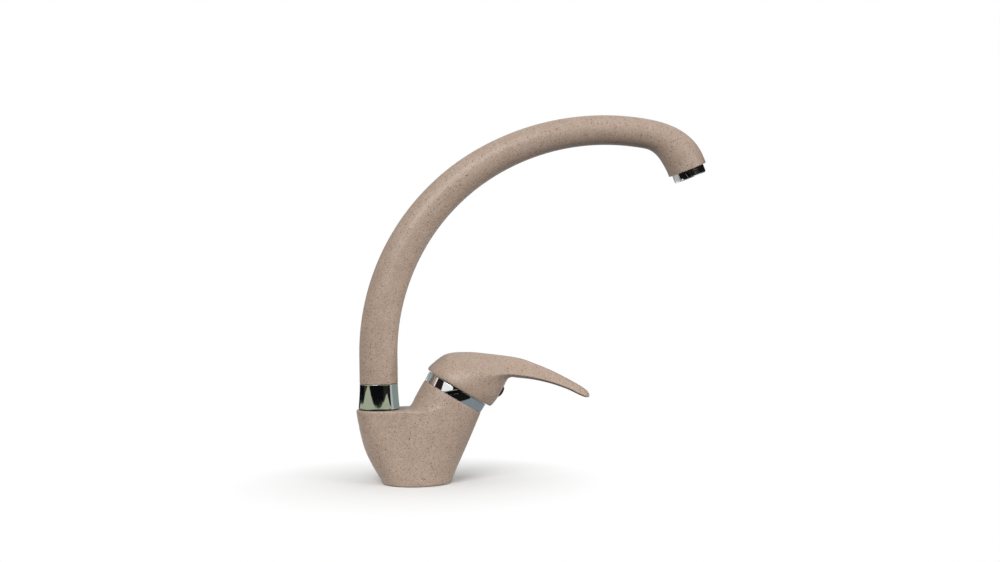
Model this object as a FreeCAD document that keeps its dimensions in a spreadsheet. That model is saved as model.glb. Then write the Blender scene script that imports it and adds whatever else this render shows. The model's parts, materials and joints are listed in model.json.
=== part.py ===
import FreeCAD, Part
import Sketcher
import os
from math import acos, cos, pi, radians, sin

# Single-lever kitchen mixer tap, in millimetres.
# The origin is the centre of the base on the deck, +Z is up and +X is the way the spout reaches.

SIZES = [
    # Body casting
    ("base_radius", 24.9, "foot of the body on the deck"),
    ("seat_height", 55.3, "flat top that the spout stands on"),
    ("swivel_offset", 27.3, "spout axis behind the centre of the base"),
    ("boss_radius", 17.0, "rear boss at the flat top"),
    ("boss_low_height", 10.8, "lower point of the boss's rear outline"),
    ("boss_low_reach", 31.3, "its distance behind the centre of the base"),
    ("boss_mid_height", 25.1, "middle point of the boss's rear outline"),
    ("boss_mid_reach", 38.1, "its distance behind the centre of the base"),
    ("boss_high_height", 38.7, "upper point of the boss's rear outline"),
    ("boss_high_reach", 41.7, "its distance behind the centre of the base"),
    ("web_inset", 1.3, "flank of the boss inside the tower's flank"),
    ("web_taper", 0.75, "more of that inset at the flat top"),
    ("web_foot", 0.3, "boss inside the round foot"),
    ("web_back", 1.5, "rear of the boss smaller than the round foot"),
    ("web_reach", 9.0, "front of the boss behind the tower's axis"),
    ("tower_tilt", 31.2, "lean of the cartridge axis from the vertical"),
    ("tower_reach", 27.95, "centre of the tower's top face ahead of the base"),
    ("tower_step", 8.6, "height of that centre above the flat top"),
    ("tower_radius", 24.2, "tower at its top face"),
    ("swell_radius", 25.3, "tower lower down, where it is fullest"),
    ("swell_depth", 22.0, "depth of that section under the top face"),
    ("swell_shift", 1.8, "shift of that section towards the front"),
    ("inlet_radius", 4.5, "M10x1 hose inlet, wall of the tapped hole"),
    ("inlet_depth", 12.0, "depth of the hose inlets"),
    ("inlet_spread", 8.5, "inlets to each side of the middle"),
    ("stud_radius", 3.4, "M8 fixing stud, wall of the tapped hole"),
    ("stud_depth", 14.0, "depth of the stud hole"),
    ("stud_back", 12.0, "stud behind the centre of the base"),
    ("channel_radius", 2.8, "inlet channels and ports"),
    ("outlet_radius", 4.0, "channel from the cartridge to the spout"),
    ("gasket_outer", 23.4, "base gasket, outer radius"),
    ("gasket_inner", 20.4, "base gasket, inner radius"),
    ("gasket_thick", 1.8, "base gasket"),
    # Cartridge
    ("cartridge_radius", 20.0, "40 mm cartridge"),
    ("cartridge_gap", 0.2, "cartridge in its chamber"),
    ("nut_grip", 4.3, "threaded length of the nut in the tower"),
    ("nut_radius", 21.1, "nut thread"),
    ("thread_gap", 0.1, "nut in its thread"),
    ("nut_collar", 4.6, "height of the nut above the tower's face"),
    ("nut_collar_radius", 20.5, "nut above the tower's face"),
    ("plate_thick", 2.0, "top plate of the cartridge housing"),
    ("neck_radius", 15.0, "neck of the housing, outside"),
    ("neck_height", 10.0, "neck above the top plate"),
    ("skirt_bore", 15.2, "housing around the discs, inside"),
    ("guide_radius", 11.5, "stem guide in the neck"),
    ("guide_gap", 0.1, "stem guide in the neck, all round"),
    ("guide_flange", 2.6, "flange of the stem guide"),
    ("guide_rise", 0.6, "stem guide above the neck"),
    ("slide_gap", 0.1, "between the stem guide and its neighbours"),
    ("carrier_radius", 12.9, "disc carrier"),
    ("carrier_height", 8.4, "disc carrier"),
    ("carrier_shift", 1.95, "shut carrier behind the cartridge axis"),
    ("disc_thick", 4.0, "each ceramic disc"),
    ("disc_gap", 0.04, "water film between the discs"),
    ("moving_radius", 12.4, "moving disc"),
    ("mixing_radius", 7.2, "mixing hollow under the moving disc"),
    ("mixing_depth", 2.2, "mixing hollow under the moving disc"),
    ("mixing_back", 1.5, "mixing hollow behind the disc's centre"),
    ("fixed_radius", 15.0, "fixed disc"),
    ("disc_stand", 0.2, "fixed disc above the base, on its seals"),
    ("floor_thick", 5.0, "base of the cartridge"),
    ("floor_stand", 0.3, "cartridge base above the chamber floor, on its seals"),
    ("port_forward", 3.6, "inlet ports ahead of the cartridge axis"),
    ("port_spread", 7.6, "inlet ports to each side of the middle"),
    ("port_back", 8.5, "outlet port behind the cartridge axis"),
    ("seal_wire", 0.9, "half thickness of the port and disc seals"),
    ("locator_radius", 1.5, "pins under the cartridge base"),
    ("locator_length", 4.0, "pins under the cartridge base"),
    ("locator_back", 6.5, "pins behind the cartridge axis"),
    ("locator_spread", 14.5, "pins to each side of the middle"),
    ("stem_width", 8.0, "square stem"),
    ("stem_fit", 0.15, "stem in the guide's slot, each side"),
    ("stem_rise", 28.0, "stem above its pivot"),
    ("stem_drop", 4.5, "square part of the stem below its pivot"),
    ("stem_tail", 9.0, "centre of the ball below the pivot"),
    ("ball_radius", 2.5, "ball at the foot of the stem"),
    ("tail_radius", 1.8, "round shank above the ball"),
    ("ball_play", 0.6, "ball in the carrier's pocket, front and back"),
    ("pivot_rise", 2.0, "pivot above the housing's top plate"),
    ("lift_angle", 25.0, "travel of the handle from shut to full flow"),
    ("pin_radius", 1.5, "pivot pin"),
    ("pin_gap", 0.06, "pin in the stem"),
    # Chrome ring under the handle
    ("ring_height", 6.9, "ring"),
    ("ring_flare", 0.25, "ring wider at its top"),
    ("ring_bore", 21.3, "ring inside, round the nut"),
    ("ring_lip", 1.5, "thickness of its inner flange"),
    ("ring_eye", 15.5, "hole in its flange"),
    # Handle
    ("cap_gap", 0.9, "handle above the ring"),
    ("cap_radius", 27.5, "rim of the handle"),
    ("cap_shift", 1.05, "rim's centre ahead of the cartridge axis"),
    ("cap_wall", 1.8, "wall at the rim"),
    ("lever_root_reach", 30.9, "root of the lever ahead of the cartridge axis"),
    ("lever_root_rise", 35.0, "root of the lever above the rim"),
    ("lever_length", 58.5, "lever along its curve"),
    ("lever_bend", 158.0, "radius of the lever's curve"),
    ("lever_start", 19.5, "angle at which the lever leaves the cap"),
    ("lever_root_half", 7.1, "half thickness at the root"),
    ("lever_tip_half", 2.9, "half thickness near the tip"),
    ("lever_root_width", 17.0, "half width at the root"),
    ("lever_tip_width", 9.0, "half width near the tip"),
    ("post_radius", 7.2, "post that holds the stem"),
    ("post_start", 5.3, "foot of the post above the rim"),
    ("post_fit", 0.05, "stem in the post"),
    ("screw_radius", 2.5, "M5 grub screws"),
    ("screw_length", 8.0, "grub screw in the handle"),
    ("screw_rise", 13.2, "grub screw above the rim"),
    ("bridge_radius", 4.4, "tube from the post to the front wall"),
    ("plug_radius", 3.0, "shank of the index plug"),
    ("plug_head", 4.6, "head of the index plug"),
    ("plug_seat", 27.6, "seat of the plug's head ahead of the axis"),
    ("plug_length", 7.0, "shank of the index plug"),
    ("plug_dome", 3.6, "height of the plug's head"),
    # Spout
    ("tube_radius", 14.2, "spout at its foot"),
    ("tube_wall", 2.0, "spout wall"),
    ("riser_length", 20.5, "straight foot of the spout"),
    ("neck_bend", 165.4, "first bend of the spout"),
    ("neck_sweep", 60.0, "angle of the first bend"),
    ("crown_bend", 180.1, "flatter bend over the crown"),
    ("crown_sweep", 40.7, "angle of the flatter bend"),
    ("tip_bend", 39.5, "tight bend before the outlet"),
    ("tip_sweep", 57.9, "angle of the tight bend"),
    ("tip_length", 3.0, "straight end at the outlet"),
    ("crown_radius", 11.25, "spout at its crown"),
    ("mouth_wall", 1.4, "spout wall round the bush at the outlet"),
    ("tail_outer", 11.45, "spout tail in the body's socket"),
    ("socket_gap", 0.05, "tail in the socket, all round"),
    ("socket_depth", 22.5, "socket under the flat top"),
    ("tail_bore", 8.0, "waterway of the tail"),
    ("spigot_gap", 0.1, "tail in the collar and the spout"),
    ("spigot_length", 13.0, "tail inside the spout"),
    ("well_radius", 7.0, "well under the socket"),
    ("well_depth", 11.0, "well under the socket"),
    ("well_shift", 2.0, "well ahead of the swivel axis"),
    ("groove_depth", 1.65, "groove that the retaining screw runs in"),
    ("ring_wire", 1.05, "half thickness of the tail's O-rings"),
    ("ring_groove_half", 1.4, "half width of an O-ring's groove"),
    ("screw_groove_half", 2.45, "half width of the retaining screw's groove"),
    ("guide_depth", 1.25, "thickness of the guide ring in its groove"),
    ("guide_half", 1.2, "half width of the guide ring"),
    ("guide_proud", 0.02, "guide ring proud of the tail"),
    ("tail_bevel", 0.8, "bevel at the foot of the tail"),
    ("slip_thick", 0.8, "slip ring under the collar"),
    ("slip_radius", 14.9, "slip ring"),
    ("collar_foot", 15.4, "collar at its foot"),
    ("collar_top", 14.2, "collar at its top"),
    ("collar_waist", 0.3, "share of the collar's flare left at mid height"),
    ("collar_height", 18.4, "collar"),
    ("collar_gap", 0.4, "shadow line between the collar and the spout"),
    # Outlet
    ("bush_wall", 0.9, "threaded bush in the mouth"),
    ("bush_play", 0.1, "aerator in the bush's M24x1 thread"),
    ("bush_fit", 0.05, "bush in the spout"),
    ("bush_length", 9.0, "threaded bush"),
    ("bush_sunk", 0.3, "bush inside the mouth"),
    ("aerator_radius", 12.5, "aerator"),
    ("aerator_proud", 6.4, "aerator beyond the mouth"),
    ("bush_shelf", 1.0, "shelf at the inner end of the bush"),
    ("aerator_wall", 1.7, "aerator housing"),
    ("aerator_edge", 0.7, "bevel round the aerator's end"),
    ("aerator_lip", 0.8, "lip that holds the grid in the housing"),
    ("washer_thick", 1.6, "aerator washer"),
    ("washer_width", 1.6, "width of the washer's ring"),
    ("grid_pitch", 2.3, "cells of the outlet grid"),
    ("grid_cell", 1.7, "opening of each cell"),
    ("grid_thick", 2.4, "outlet grid"),
    ("grid_rim", 0.4, "solid edge of the grid"),
    ("insert_fit", 0.05, "grid, screens and insert in the housing"),
    ("insert_wall", 1.5, "plastic insert"),
    ("insert_rise", 2.6, "insert's floor above the grid"),
    ("screen_thick", 0.4, "each screen"),
    ("screen_gap", 0.3, "lower screen above the grid"),
    ("screen_step", 0.9, "upper screen above the lower one"),
    ("jet_radius", 0.6, "jets of the insert"),
]

doc = FreeCAD.newDocument("mixer_tap")
sheet = doc.addObject("Spreadsheet::Sheet", "Sizes")
for row, (alias, value, note) in enumerate(SIZES, start=1):
    sheet.set("A%d" % row, note)
    sheet.set("B%d" % row, str(value))
    sheet.setAlias("B%d" % row, alias)
doc.recompute()

ALIASES = sorted((alias for alias, value, note in SIZES), key=len, reverse=True)
pieces = []


def formula(text):
    """Turns a rule in plain size names into one that reads the sheet."""
    words = []
    word = ""
    for letter in text + " ":
        if letter.isalnum() or letter == "_":
            word += letter
            continue
        if word in ALIASES:
            word = "Sizes." + word
        words.append(word + letter)
        word = ""
    return "".join(words).strip()


def size(text):
    """The value of a rule now."""
    result = sheet.evalExpression(formula(text))
    return float(getattr(result, "Value", result))


# Levels along the cartridge axis, from the tower's top face, up is positive
PLATE_TOP = "-nut_grip"
PLATE_LOW = "(%s-plate_thick)" % PLATE_TOP
NECK_TOP = "(%s+neck_height)" % PLATE_TOP
GUIDE_TOP = "(%s+guide_rise)" % NECK_TOP
FLANGE_TOP = "(%s-slide_gap)" % PLATE_LOW
FLANGE_LOW = "(%s-guide_flange)" % FLANGE_TOP
CARRIER_TOP = "(%s-slide_gap)" % FLANGE_LOW
CARRIER_LOW = "(%s-carrier_height)" % CARRIER_TOP
MOVING_LOW = "(%s-disc_thick)" % CARRIER_LOW
FIXED_TOP = "(%s-disc_gap)" % MOVING_LOW
FIXED_LOW = "(%s-disc_thick)" % FIXED_TOP
FLOOR_TOP = "(%s-disc_stand)" % FIXED_LOW
FLOOR_LOW = "(%s-floor_thick)" % FLOOR_TOP
CHAMBER = "(%s-floor_stand)" % FLOOR_LOW
PIVOT = "(%s+pivot_rise)" % PLATE_TOP
RIM = "(ring_height+cap_gap)"
SCREW_LEVEL = "(%s+screw_rise)" % RIM

# Centre of the tower's top face
TOWER_TOP = "(seat_height+tower_step)"

# Bush and mouth of the spout round the aerator
BUSH_BORE = "(aerator_radius+bush_play)"
BUSH_OUTER = "(%s+bush_wall)" % BUSH_BORE
MOUTH = "(%s+mouth_wall)" % BUSH_OUTER

# Heights along the spout's axis, from the deck
SOCKET_LOW = "(seat_height-socket_depth)"
TAIL_LOW = "(%s+1.2)" % SOCKET_LOW
SLIP_TOP = "(seat_height+slip_thick)"
COLLAR_LOW = "(%s+socket_gap)" % SLIP_TOP
COLLAR_TOP = "(%s+collar_height)" % COLLAR_LOW
TUBE_LOW = "(%s+collar_gap)" % COLLAR_TOP
SPIGOT = "(tube_radius-tube_wall-spigot_gap)"


def place(thing, x="0", y="0", z="0", tilt="0"):
    """Puts a thing at a point, leaning towards the front by an angle."""
    axis = FreeCAD.Vector(0, 1, 0)
    thing.Placement = FreeCAD.Placement(FreeCAD.Vector(0, 0, 0), FreeCAD.Rotation(axis, 1))
    thing.setExpression("Placement.Base.x", formula(x))
    thing.setExpression("Placement.Base.y", formula(y))
    thing.setExpression("Placement.Base.z", formula(z))
    thing.setExpression("Placement.Rotation.Angle", formula(tilt))
    return thing


def in_tower(thing):
    """Stands a thing on the tower's axis, measured from its top face."""
    return place(thing, "tower_reach", "0", TOWER_TOP, "tower_tilt")


def in_socket(thing):
    """Stands a thing on the spout's swivel axis, measured from the deck."""
    return place(thing, "-swivel_offset", "0", "0", "0")


def rod(radius, low, high, x="0", y="0"):
    """A cylinder along Z between two levels."""
    thing = doc.addObject("Part::Cylinder", "rod")
    thing.setExpression("Radius", formula(radius))
    thing.setExpression("Height", formula("(%s)-(%s)" % (high, low)))
    return place(thing, x, y, low)


def lying_rod(radius, start, end, z, y="0"):
    """A cylinder along X between two places."""
    thing = doc.addObject("Part::Cylinder", "lying_rod")
    thing.setExpression("Radius", formula(radius))
    thing.setExpression("Height", formula("(%s)-(%s)" % (end, start)))
    return place(thing, start, y, z, "90")


def block(x_low, x_high, half_width, z_low, z_high, y="0"):
    """A box, the same to each side of a line along X."""
    thing = doc.addObject("Part::Box", "block")
    thing.setExpression("Length", formula("(%s)-(%s)" % (x_high, x_low)))
    thing.setExpression("Width", formula("2*(%s)" % half_width))
    thing.setExpression("Height", formula("(%s)-(%s)" % (z_high, z_low)))
    return place(thing, x_low, "(%s)-(%s)" % (y, half_width), z_low)


def o_ring(middle, wire, z, x="0", y="0"):
    """A rubber ring lying flat."""
    thing = doc.addObject("Part::Torus", "o_ring")
    thing.setExpression("Radius1", formula(middle))
    thing.setExpression("Radius2", formula(wire))
    return place(thing, x, y, z)


def cross_pin(radius, half_length, z, x="0"):
    """A cylinder along Y, the same to each side."""
    thing = doc.addObject("Part::Cylinder", "cross_pin")
    thing.setExpression("Radius", formula(radius))
    thing.setExpression("Height", formula("2*(%s)" % half_length))
    across = FreeCAD.Rotation(FreeCAD.Vector(1, 0, 0), -90)
    thing.Placement = FreeCAD.Placement(FreeCAD.Vector(0, 0, 0), across)
    thing.setExpression("Placement.Base.x", formula(x))
    thing.setExpression("Placement.Base.y", formula("-(%s)" % half_length))
    thing.setExpression("Placement.Base.z", formula(z))
    return thing


def fuse(things):
    thing = doc.addObject("Part::MultiFuse", "joined")
    thing.Shapes = things
    return thing


def cut(solid, tools):
    thing = doc.addObject("Part::Cut", "cut")
    thing.Base = solid
    thing.Tool = tools[0] if len(tools) == 1 else fuse(tools)
    return thing


def group(things):
    thing = doc.addObject("Part::Compound", "group")
    thing.Links = things
    return thing


def pin_to_sheet(sketch, index, end, across, up):
    """Ties one end of a line to its distances from the sketch's origin."""
    for kind, text, axis in (("DistanceX", across, -2), ("DistanceY", up, -1)):
        value = size(text)
        if abs(value) < 1e-9:
            sketch.addConstraint(Sketcher.Constraint("PointOnObject", index, end, axis))
            continue
        if value > 0:
            tie = sketch.addConstraint(Sketcher.Constraint(kind, -1, 1, index, end, value))
            sketch.setExpression("Constraints[%d]" % tie, formula(text))
        else:
            tie = sketch.addConstraint(Sketcher.Constraint(kind, index, end, -1, 1, -value))
            sketch.setExpression("Constraints[%d]" % tie, formula("-(%s)" % text))


def turned(outline):
    """A body turned about its own Z axis from pairs of radius and level."""
    body = doc.addObject("PartDesign::Body", "turned")
    plane = [part for part in body.Origin.OriginFeatures if part.Role == "XZ_Plane"][0]
    sketch = body.newObject("Sketcher::SketchObject", "outline")
    sketch.AttachmentSupport = [(plane, "")]
    sketch.MapMode = "FlatFace"
    corners = [FreeCAD.Vector(size(radius), size(level), 0) for radius, level in outline]
    count = len(outline)
    for index in range(count):
        line = Part.LineSegment(corners[index], corners[(index + 1) % count])
        sketch.addGeometry(line, False)
    for index in range(count):
        joint = Sketcher.Constraint("Coincident", index, 2, (index + 1) % count, 1)
        sketch.addConstraint(joint)
    for index, (radius, level) in enumerate(outline):
        pin_to_sheet(sketch, index, 1, radius, level)
    turn = body.newObject("PartDesign::Revolution", "turn")
    turn.Profile = sketch
    turn.ReferenceAxis = (sketch, ["V_Axis"])
    turn.Angle = 360
    return body


def keep(thing, label):
    """Names a finished piece."""
    thing.Label = label
    pieces.append(thing)
    return thing


def egg(height, rear_reach, rear_radius, front_middle, front_radius):
    """A level outline of two arcs, large in front and small behind, with straight flanks."""
    sketch = doc.addObject("Sketcher::SketchObject", "egg")
    rear = size("(%s)-(%s)" % (rear_radius, rear_reach))
    front = size(front_middle)
    small = size(rear_radius)
    large = size(front_radius)
    turn = acos((small - large) / (front - rear))
    up = FreeCAD.Vector(0, 0, 1)
    rear_circle = Part.Circle(FreeCAD.Vector(rear, 0, 0), up, small)
    front_circle = Part.Circle(FreeCAD.Vector(front, 0, 0), up, large)
    rear_end = FreeCAD.Vector(rear + small * cos(turn), small * sin(turn), 0)
    front_end = FreeCAD.Vector(front + large * cos(turn), large * sin(turn), 0)
    rear_low = FreeCAD.Vector(rear_end.x, -rear_end.y, 0)
    front_low = FreeCAD.Vector(front_end.x, -front_end.y, 0)
    sketch.addGeometry(Part.ArcOfCircle(rear_circle, turn, 2 * pi - turn), False)
    sketch.addGeometry(Part.ArcOfCircle(front_circle, -turn, turn), False)
    sketch.addGeometry(Part.LineSegment(front_end, rear_end), False)
    sketch.addGeometry(Part.LineSegment(rear_low, front_low), False)
    for first, first_end, second, second_end in ((1, 2, 2, 1), (2, 2, 0, 1), (0, 2, 3, 1), (3, 2, 1, 1)):
        sketch.addConstraint(Sketcher.Constraint("Tangent", first, first_end, second, second_end))
    sketch.addConstraint(Sketcher.Constraint("PointOnObject", 0, 3, -1))
    sketch.addConstraint(Sketcher.Constraint("PointOnObject", 1, 3, -1))
    ties = (
        (Sketcher.Constraint("Radius", 0, small), rear_radius),
        (Sketcher.Constraint("Radius", 1, large), front_radius),
        (Sketcher.Constraint("DistanceX", 0, 3, -1, 1, -rear), "(%s)-(%s)" % (rear_reach, rear_radius)),
        (Sketcher.Constraint("DistanceX", -1, 1, 1, 3, front), front_middle),
    )
    for constraint, rule in ties:
        tie = sketch.addConstraint(constraint)
        sketch.setExpression("Constraints[%d]" % tie, formula(rule))
    return place(sketch, "0", "0", height)


def hoop(radius, x, z, tilt):
    """A circle square to a path at one of its stations."""
    thing = doc.addObject("Part::Circle", "hoop")
    thing.setExpression("Radius", formula(radius))
    return place(thing, x, "0", z, tilt)


def loft(sections):
    thing = doc.addObject("Part::Loft", "loft")
    thing.Sections = sections
    thing.Solid = True
    thing.Ruled = False
    return thing


def tower_skin():
    """The leaning front of the casting, from the round foot to the tower's top face."""
    foot = hoop("base_radius", "0", "0", "0")
    full_x = "tower_reach-swell_depth*sin(tower_tilt)+swell_shift*cos(tower_tilt)"
    full_z = TOWER_TOP + "-swell_depth*cos(tower_tilt)-swell_shift*sin(tower_tilt)"
    full = hoop("swell_radius", full_x, full_z, "tower_tilt")
    top = hoop("tower_radius", "tower_reach", TOWER_TOP, "tower_tilt")
    return loft([foot, full, top])


def boss_skin():
    """The rear of the casting, which carries the spout on its flat top."""
    top_middle = "(tower_reach-tower_step*tan(tower_tilt)-web_reach)"
    levels = (
        ("0", "base_radius-web_foot"),
        ("boss_low_height", "boss_low_reach"),
        ("boss_mid_height", "boss_mid_reach"),
        ("boss_high_height", "boss_high_reach"),
        ("seat_height", "swivel_offset+boss_radius"),
    )
    eggs = []
    for height, reach in levels:
        share = "((%s)/seat_height)" % height
        rear_radius = "(base_radius-web_back+(boss_radius-base_radius+web_back)*%s)" % share
        middle = "(web_inset+(%s-web_inset)*%s)" % (top_middle, share)
        broad = "(base_radius-web_inset)"
        narrow = "(tower_radius-web_inset-web_taper)"
        front_radius = "(%s+(%s-%s)*%s)" % (broad, narrow, broad, share)
        eggs.append(egg(height, reach, rear_radius, middle, front_radius))
    return loft(eggs)


# The foot of an inlet channel on the chamber floor, and the inlets that the channels run down to
PORT_X = "(tower_reach+%s*sin(tower_tilt)+port_forward*cos(tower_tilt))" % CHAMBER
PORT_Z = "(%s+%s*cos(tower_tilt)-port_forward*sin(tower_tilt))" % (TOWER_TOP, CHAMBER)
INLET_X = "(%s-(%s-inlet_depth)*tan(tower_tilt))" % (PORT_X, PORT_Z)
CHANNEL_LOW = "(%s-(%s-inlet_depth)/cos(tower_tilt)-1)" % (CHAMBER, PORT_Z)

# The outlet channel, from the port at the back of the chamber floor to the well
BACK_X = "(tower_reach+%s*sin(tower_tilt)-port_back*cos(tower_tilt))" % CHAMBER
BACK_Z = "(%s+%s*cos(tower_tilt)+port_back*sin(tower_tilt))" % (TOWER_TOP, CHAMBER)
WELL_X = "(well_shift-swivel_offset)"
WELL_Z = "(%s-well_depth/2)" % SOCKET_LOW

# The groove of the tail and the screw that runs in it
SCREW_Z = "(%s+socket_depth*0.48)" % SOCKET_LOW
GROOVE_FLOOR = "(tail_outer-groove_depth)"


def outlet_channel():
    run = "((%s)-(%s))" % (BACK_X, WELL_X)
    climb = "((%s)-(%s))" % (BACK_Z, WELL_Z)
    thing = doc.addObject("Part::Cylinder", "channel")
    thing.setExpression("Radius", formula("outlet_radius"))
    thing.setExpression("Height", formula("sqrt(%s^2+%s^2)+2.5" % (run, climb)))
    return place(thing, WELL_X, "0", WELL_Z, "atan(%s/%s)" % (run, climb))


def tower_hollows():
    """Everything bored along the cartridge axis."""
    hollows = [
        rod("cartridge_radius+cartridge_gap", CHAMBER, "1"),
        rod("nut_radius+thread_gap", "%s-0.4" % PLATE_TOP, "1"),
    ]
    for side in ("", "-"):
        pin_low = "%s-locator_length-0.5" % CHAMBER
        high = "%s+0.5" % CHAMBER
        spread = side + "locator_spread"
        hollows.append(rod("locator_radius+0.3", pin_low, high, "-locator_back", spread))
        hollows.append(rod("channel_radius", CHANNEL_LOW, high, "port_forward", side + "port_spread"))
    return in_tower(fuse(hollows))


def body():
    socket = in_socket(fuse([
        rod("tail_outer+socket_gap", SOCKET_LOW, "seat_height+5"),
        rod("well_radius", "%s-well_depth" % SOCKET_LOW, "%s+0.5" % SOCKET_LOW, "well_shift"),
        lying_rod("screw_radius", "-boss_high_reach", "-%s" % GROOVE_FLOOR, SCREW_Z),
    ]))
    underside = [
        rod("inlet_radius", "-1", "inlet_depth", INLET_X, "inlet_spread"),
        rod("inlet_radius", "-1", "inlet_depth", INLET_X, "-inlet_spread"),
        rod("stud_radius", "-1", "stud_depth", "-stud_back"),
        turned([
            ("gasket_inner", "-1"),
            ("gasket_outer", "-1"),
            ("gasket_outer", "gasket_thick"),
            ("gasket_inner", "gasket_thick"),
        ]),
    ]
    skin = fuse([tower_skin(), boss_skin()])
    return keep(cut(skin, [tower_hollows(), socket, outlet_channel()] + underside), "body")


def base_gasket():
    ring = turned([
        ("gasket_inner", "0"),
        ("gasket_outer", "0"),
        ("gasket_outer", "gasket_thick"),
        ("gasket_inner", "gasket_thick"),
    ])
    return keep(ring, "base_gasket")


def ports(low, high):
    """The two inlet ports and the outlet port through a cartridge piece."""
    return [
        rod("channel_radius", low, high, "port_forward", "port_spread"),
        rod("channel_radius", low, high, "port_forward", "-port_spread"),
        rod("outlet_radius", low, high, "-port_back"),
    ]


def port_rings(level, wire):
    """One rubber ring round each of the three ports."""
    inlet = "channel_radius+seal_wire+0.2"
    outlet = "outlet_radius+seal_wire+0.2"
    return [
        o_ring(inlet, wire, level, "port_forward", "port_spread"),
        o_ring(inlet, wire, level, "port_forward", "-port_spread"),
        o_ring(outlet, wire, level, "-port_back"),
    ]


LOW_SEALS = "(%s+seal_wire)" % CHAMBER
HIGH_SEALS = "(%s-seal_wire)" % FIXED_LOW


def cartridge_base():
    plate = [rod("cartridge_radius-0.4", FLOOR_LOW, FLOOR_TOP)]
    for side in ("", "-"):
        low = "%s-locator_length" % FLOOR_LOW
        plate.append(rod("locator_radius", low, "%s+0.5" % FLOOR_LOW, "-locator_back", side + "locator_spread"))
    tools = ports("%s-1" % FLOOR_LOW, "%s+1" % FLOOR_TOP)
    tools += port_rings(LOW_SEALS, "seal_wire+0.05") + port_rings(HIGH_SEALS, "seal_wire+0.05")
    return keep(in_tower(cut(fuse(plate), tools)), "cartridge_base")


def seals():
    keep(in_tower(group(port_rings(LOW_SEALS, "seal_wire"))), "cartridge_port_seals")
    keep(in_tower(group(port_rings(HIGH_SEALS, "seal_wire"))), "disc_seals")


def cartridge_housing():
    shell = turned([
        ("skirt_bore", FLOOR_TOP),
        ("cartridge_radius", FLOOR_TOP),
        ("cartridge_radius", PLATE_TOP),
        ("neck_radius", PLATE_TOP),
        ("neck_radius", NECK_TOP),
        ("guide_radius+guide_gap", NECK_TOP),
        ("guide_radius+guide_gap", PLATE_LOW),
        ("skirt_bore", PLATE_LOW),
    ])
    return keep(in_tower(shell), "cartridge_housing")


def fixed_disc():
    disc = cut(rod("fixed_radius", FIXED_LOW, FIXED_TOP), ports("%s-1" % FIXED_LOW, "%s+1" % FIXED_TOP))
    return keep(in_tower(disc), "fixed_ceramic_disc")


PEG_SPREAD = "((mixing_radius+moving_radius)/2+0.4)"


def moving_disc():
    hollow_x = "-carrier_shift-mixing_back"
    tools = [rod("mixing_radius", "%s-1" % MOVING_LOW, "%s+mixing_depth" % MOVING_LOW, hollow_x)]
    for side in ("", "-"):
        hole = rod("1.3", "%s-1.6" % CARRIER_LOW, "%s+1" % CARRIER_LOW, "-carrier_shift", side + PEG_SPREAD)
        tools.append(hole)
    disc = cut(rod("moving_radius", MOVING_LOW, CARRIER_LOW, "-carrier_shift"), tools)
    return keep(in_tower(disc), "moving_ceramic_disc")


RIB_SPREAD = "(guide_radius-2.5)"


def disc_carrier():
    parts = [rod("carrier_radius", CARRIER_LOW, CARRIER_TOP, "-carrier_shift")]
    for side in ("", "-"):
        peg_low = "%s-1.4" % CARRIER_LOW
        parts.append(rod("1.2", peg_low, "%s+0.5" % CARRIER_LOW, "-carrier_shift", side + PEG_SPREAD))
        rib_low = "%s-0.5" % CARRIER_TOP
        rib = block("-carrier_shift-6", "-carrier_shift+6", "1", rib_low, "%s+1.5" % CARRIER_TOP, side + RIB_SPREAD)
        parts.append(rib)
    reach = "(ball_radius+ball_play)"
    pocket_low = "%s-stem_tail-ball_radius-0.5" % PIVOT
    pocket = block("-" + reach, reach, "ball_radius+0.3", pocket_low, "%s+2" % CARRIER_TOP)
    return keep(in_tower(cut(fuse(parts), [pocket])), "disc_carrier")


STEM_SEAL = "(%s+4.4)" % PIVOT


def stem_guide():
    guide = turned([
        ("0", FLANGE_LOW),
        ("skirt_bore-0.2", FLANGE_LOW),
        ("skirt_bore-0.2", FLANGE_TOP),
        ("guide_radius", FLANGE_TOP),
        ("guide_radius", GUIDE_TOP),
        ("0", GUIDE_TOP),
    ])
    swing = "(%s-%s)*tan(lift_angle)+stem_width/2/cos(lift_angle)+0.4" % (GUIDE_TOP, PIVOT)
    kick = "stem_width/2*cos(lift_angle)+stem_drop*sin(lift_angle)+0.4"
    half = "stem_width/2+stem_fit"
    tools = [
        block("-(%s)" % swing, kick, half, "%s-1" % FLANGE_LOW, "%s+1" % GUIDE_TOP),
        cross_pin("pin_radius", "guide_radius+1", PIVOT),
        turned([
            ("guide_radius-1.5", "%s-0.9" % STEM_SEAL),
            ("guide_radius+1", "%s-0.9" % STEM_SEAL),
            ("guide_radius+1", "%s+0.9" % STEM_SEAL),
            ("guide_radius-1.5", "%s+0.9" % STEM_SEAL),
        ]),
    ]
    travel = "(carrier_shift+6.3)"
    for side in ("", "-"):
        groove_top = "%s+1.8" % FLANGE_LOW
        spread = side + RIB_SPREAD
        tools.append(block("-" + travel, travel, "1.15", "%s-1" % FLANGE_LOW, groove_top, spread))
    return keep(in_tower(cut(guide, tools)), "stem_guide")


def stem_guide_seal():
    seal = o_ring("guide_radius+0.05-0.7", "0.7", STEM_SEAL)
    return keep(in_tower(group([seal])), "stem_guide_seal")


def pivot_pin():
    return keep(in_tower(group([cross_pin("pin_radius", "guide_radius-0.3", PIVOT)])), "pivot_pin")


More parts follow.
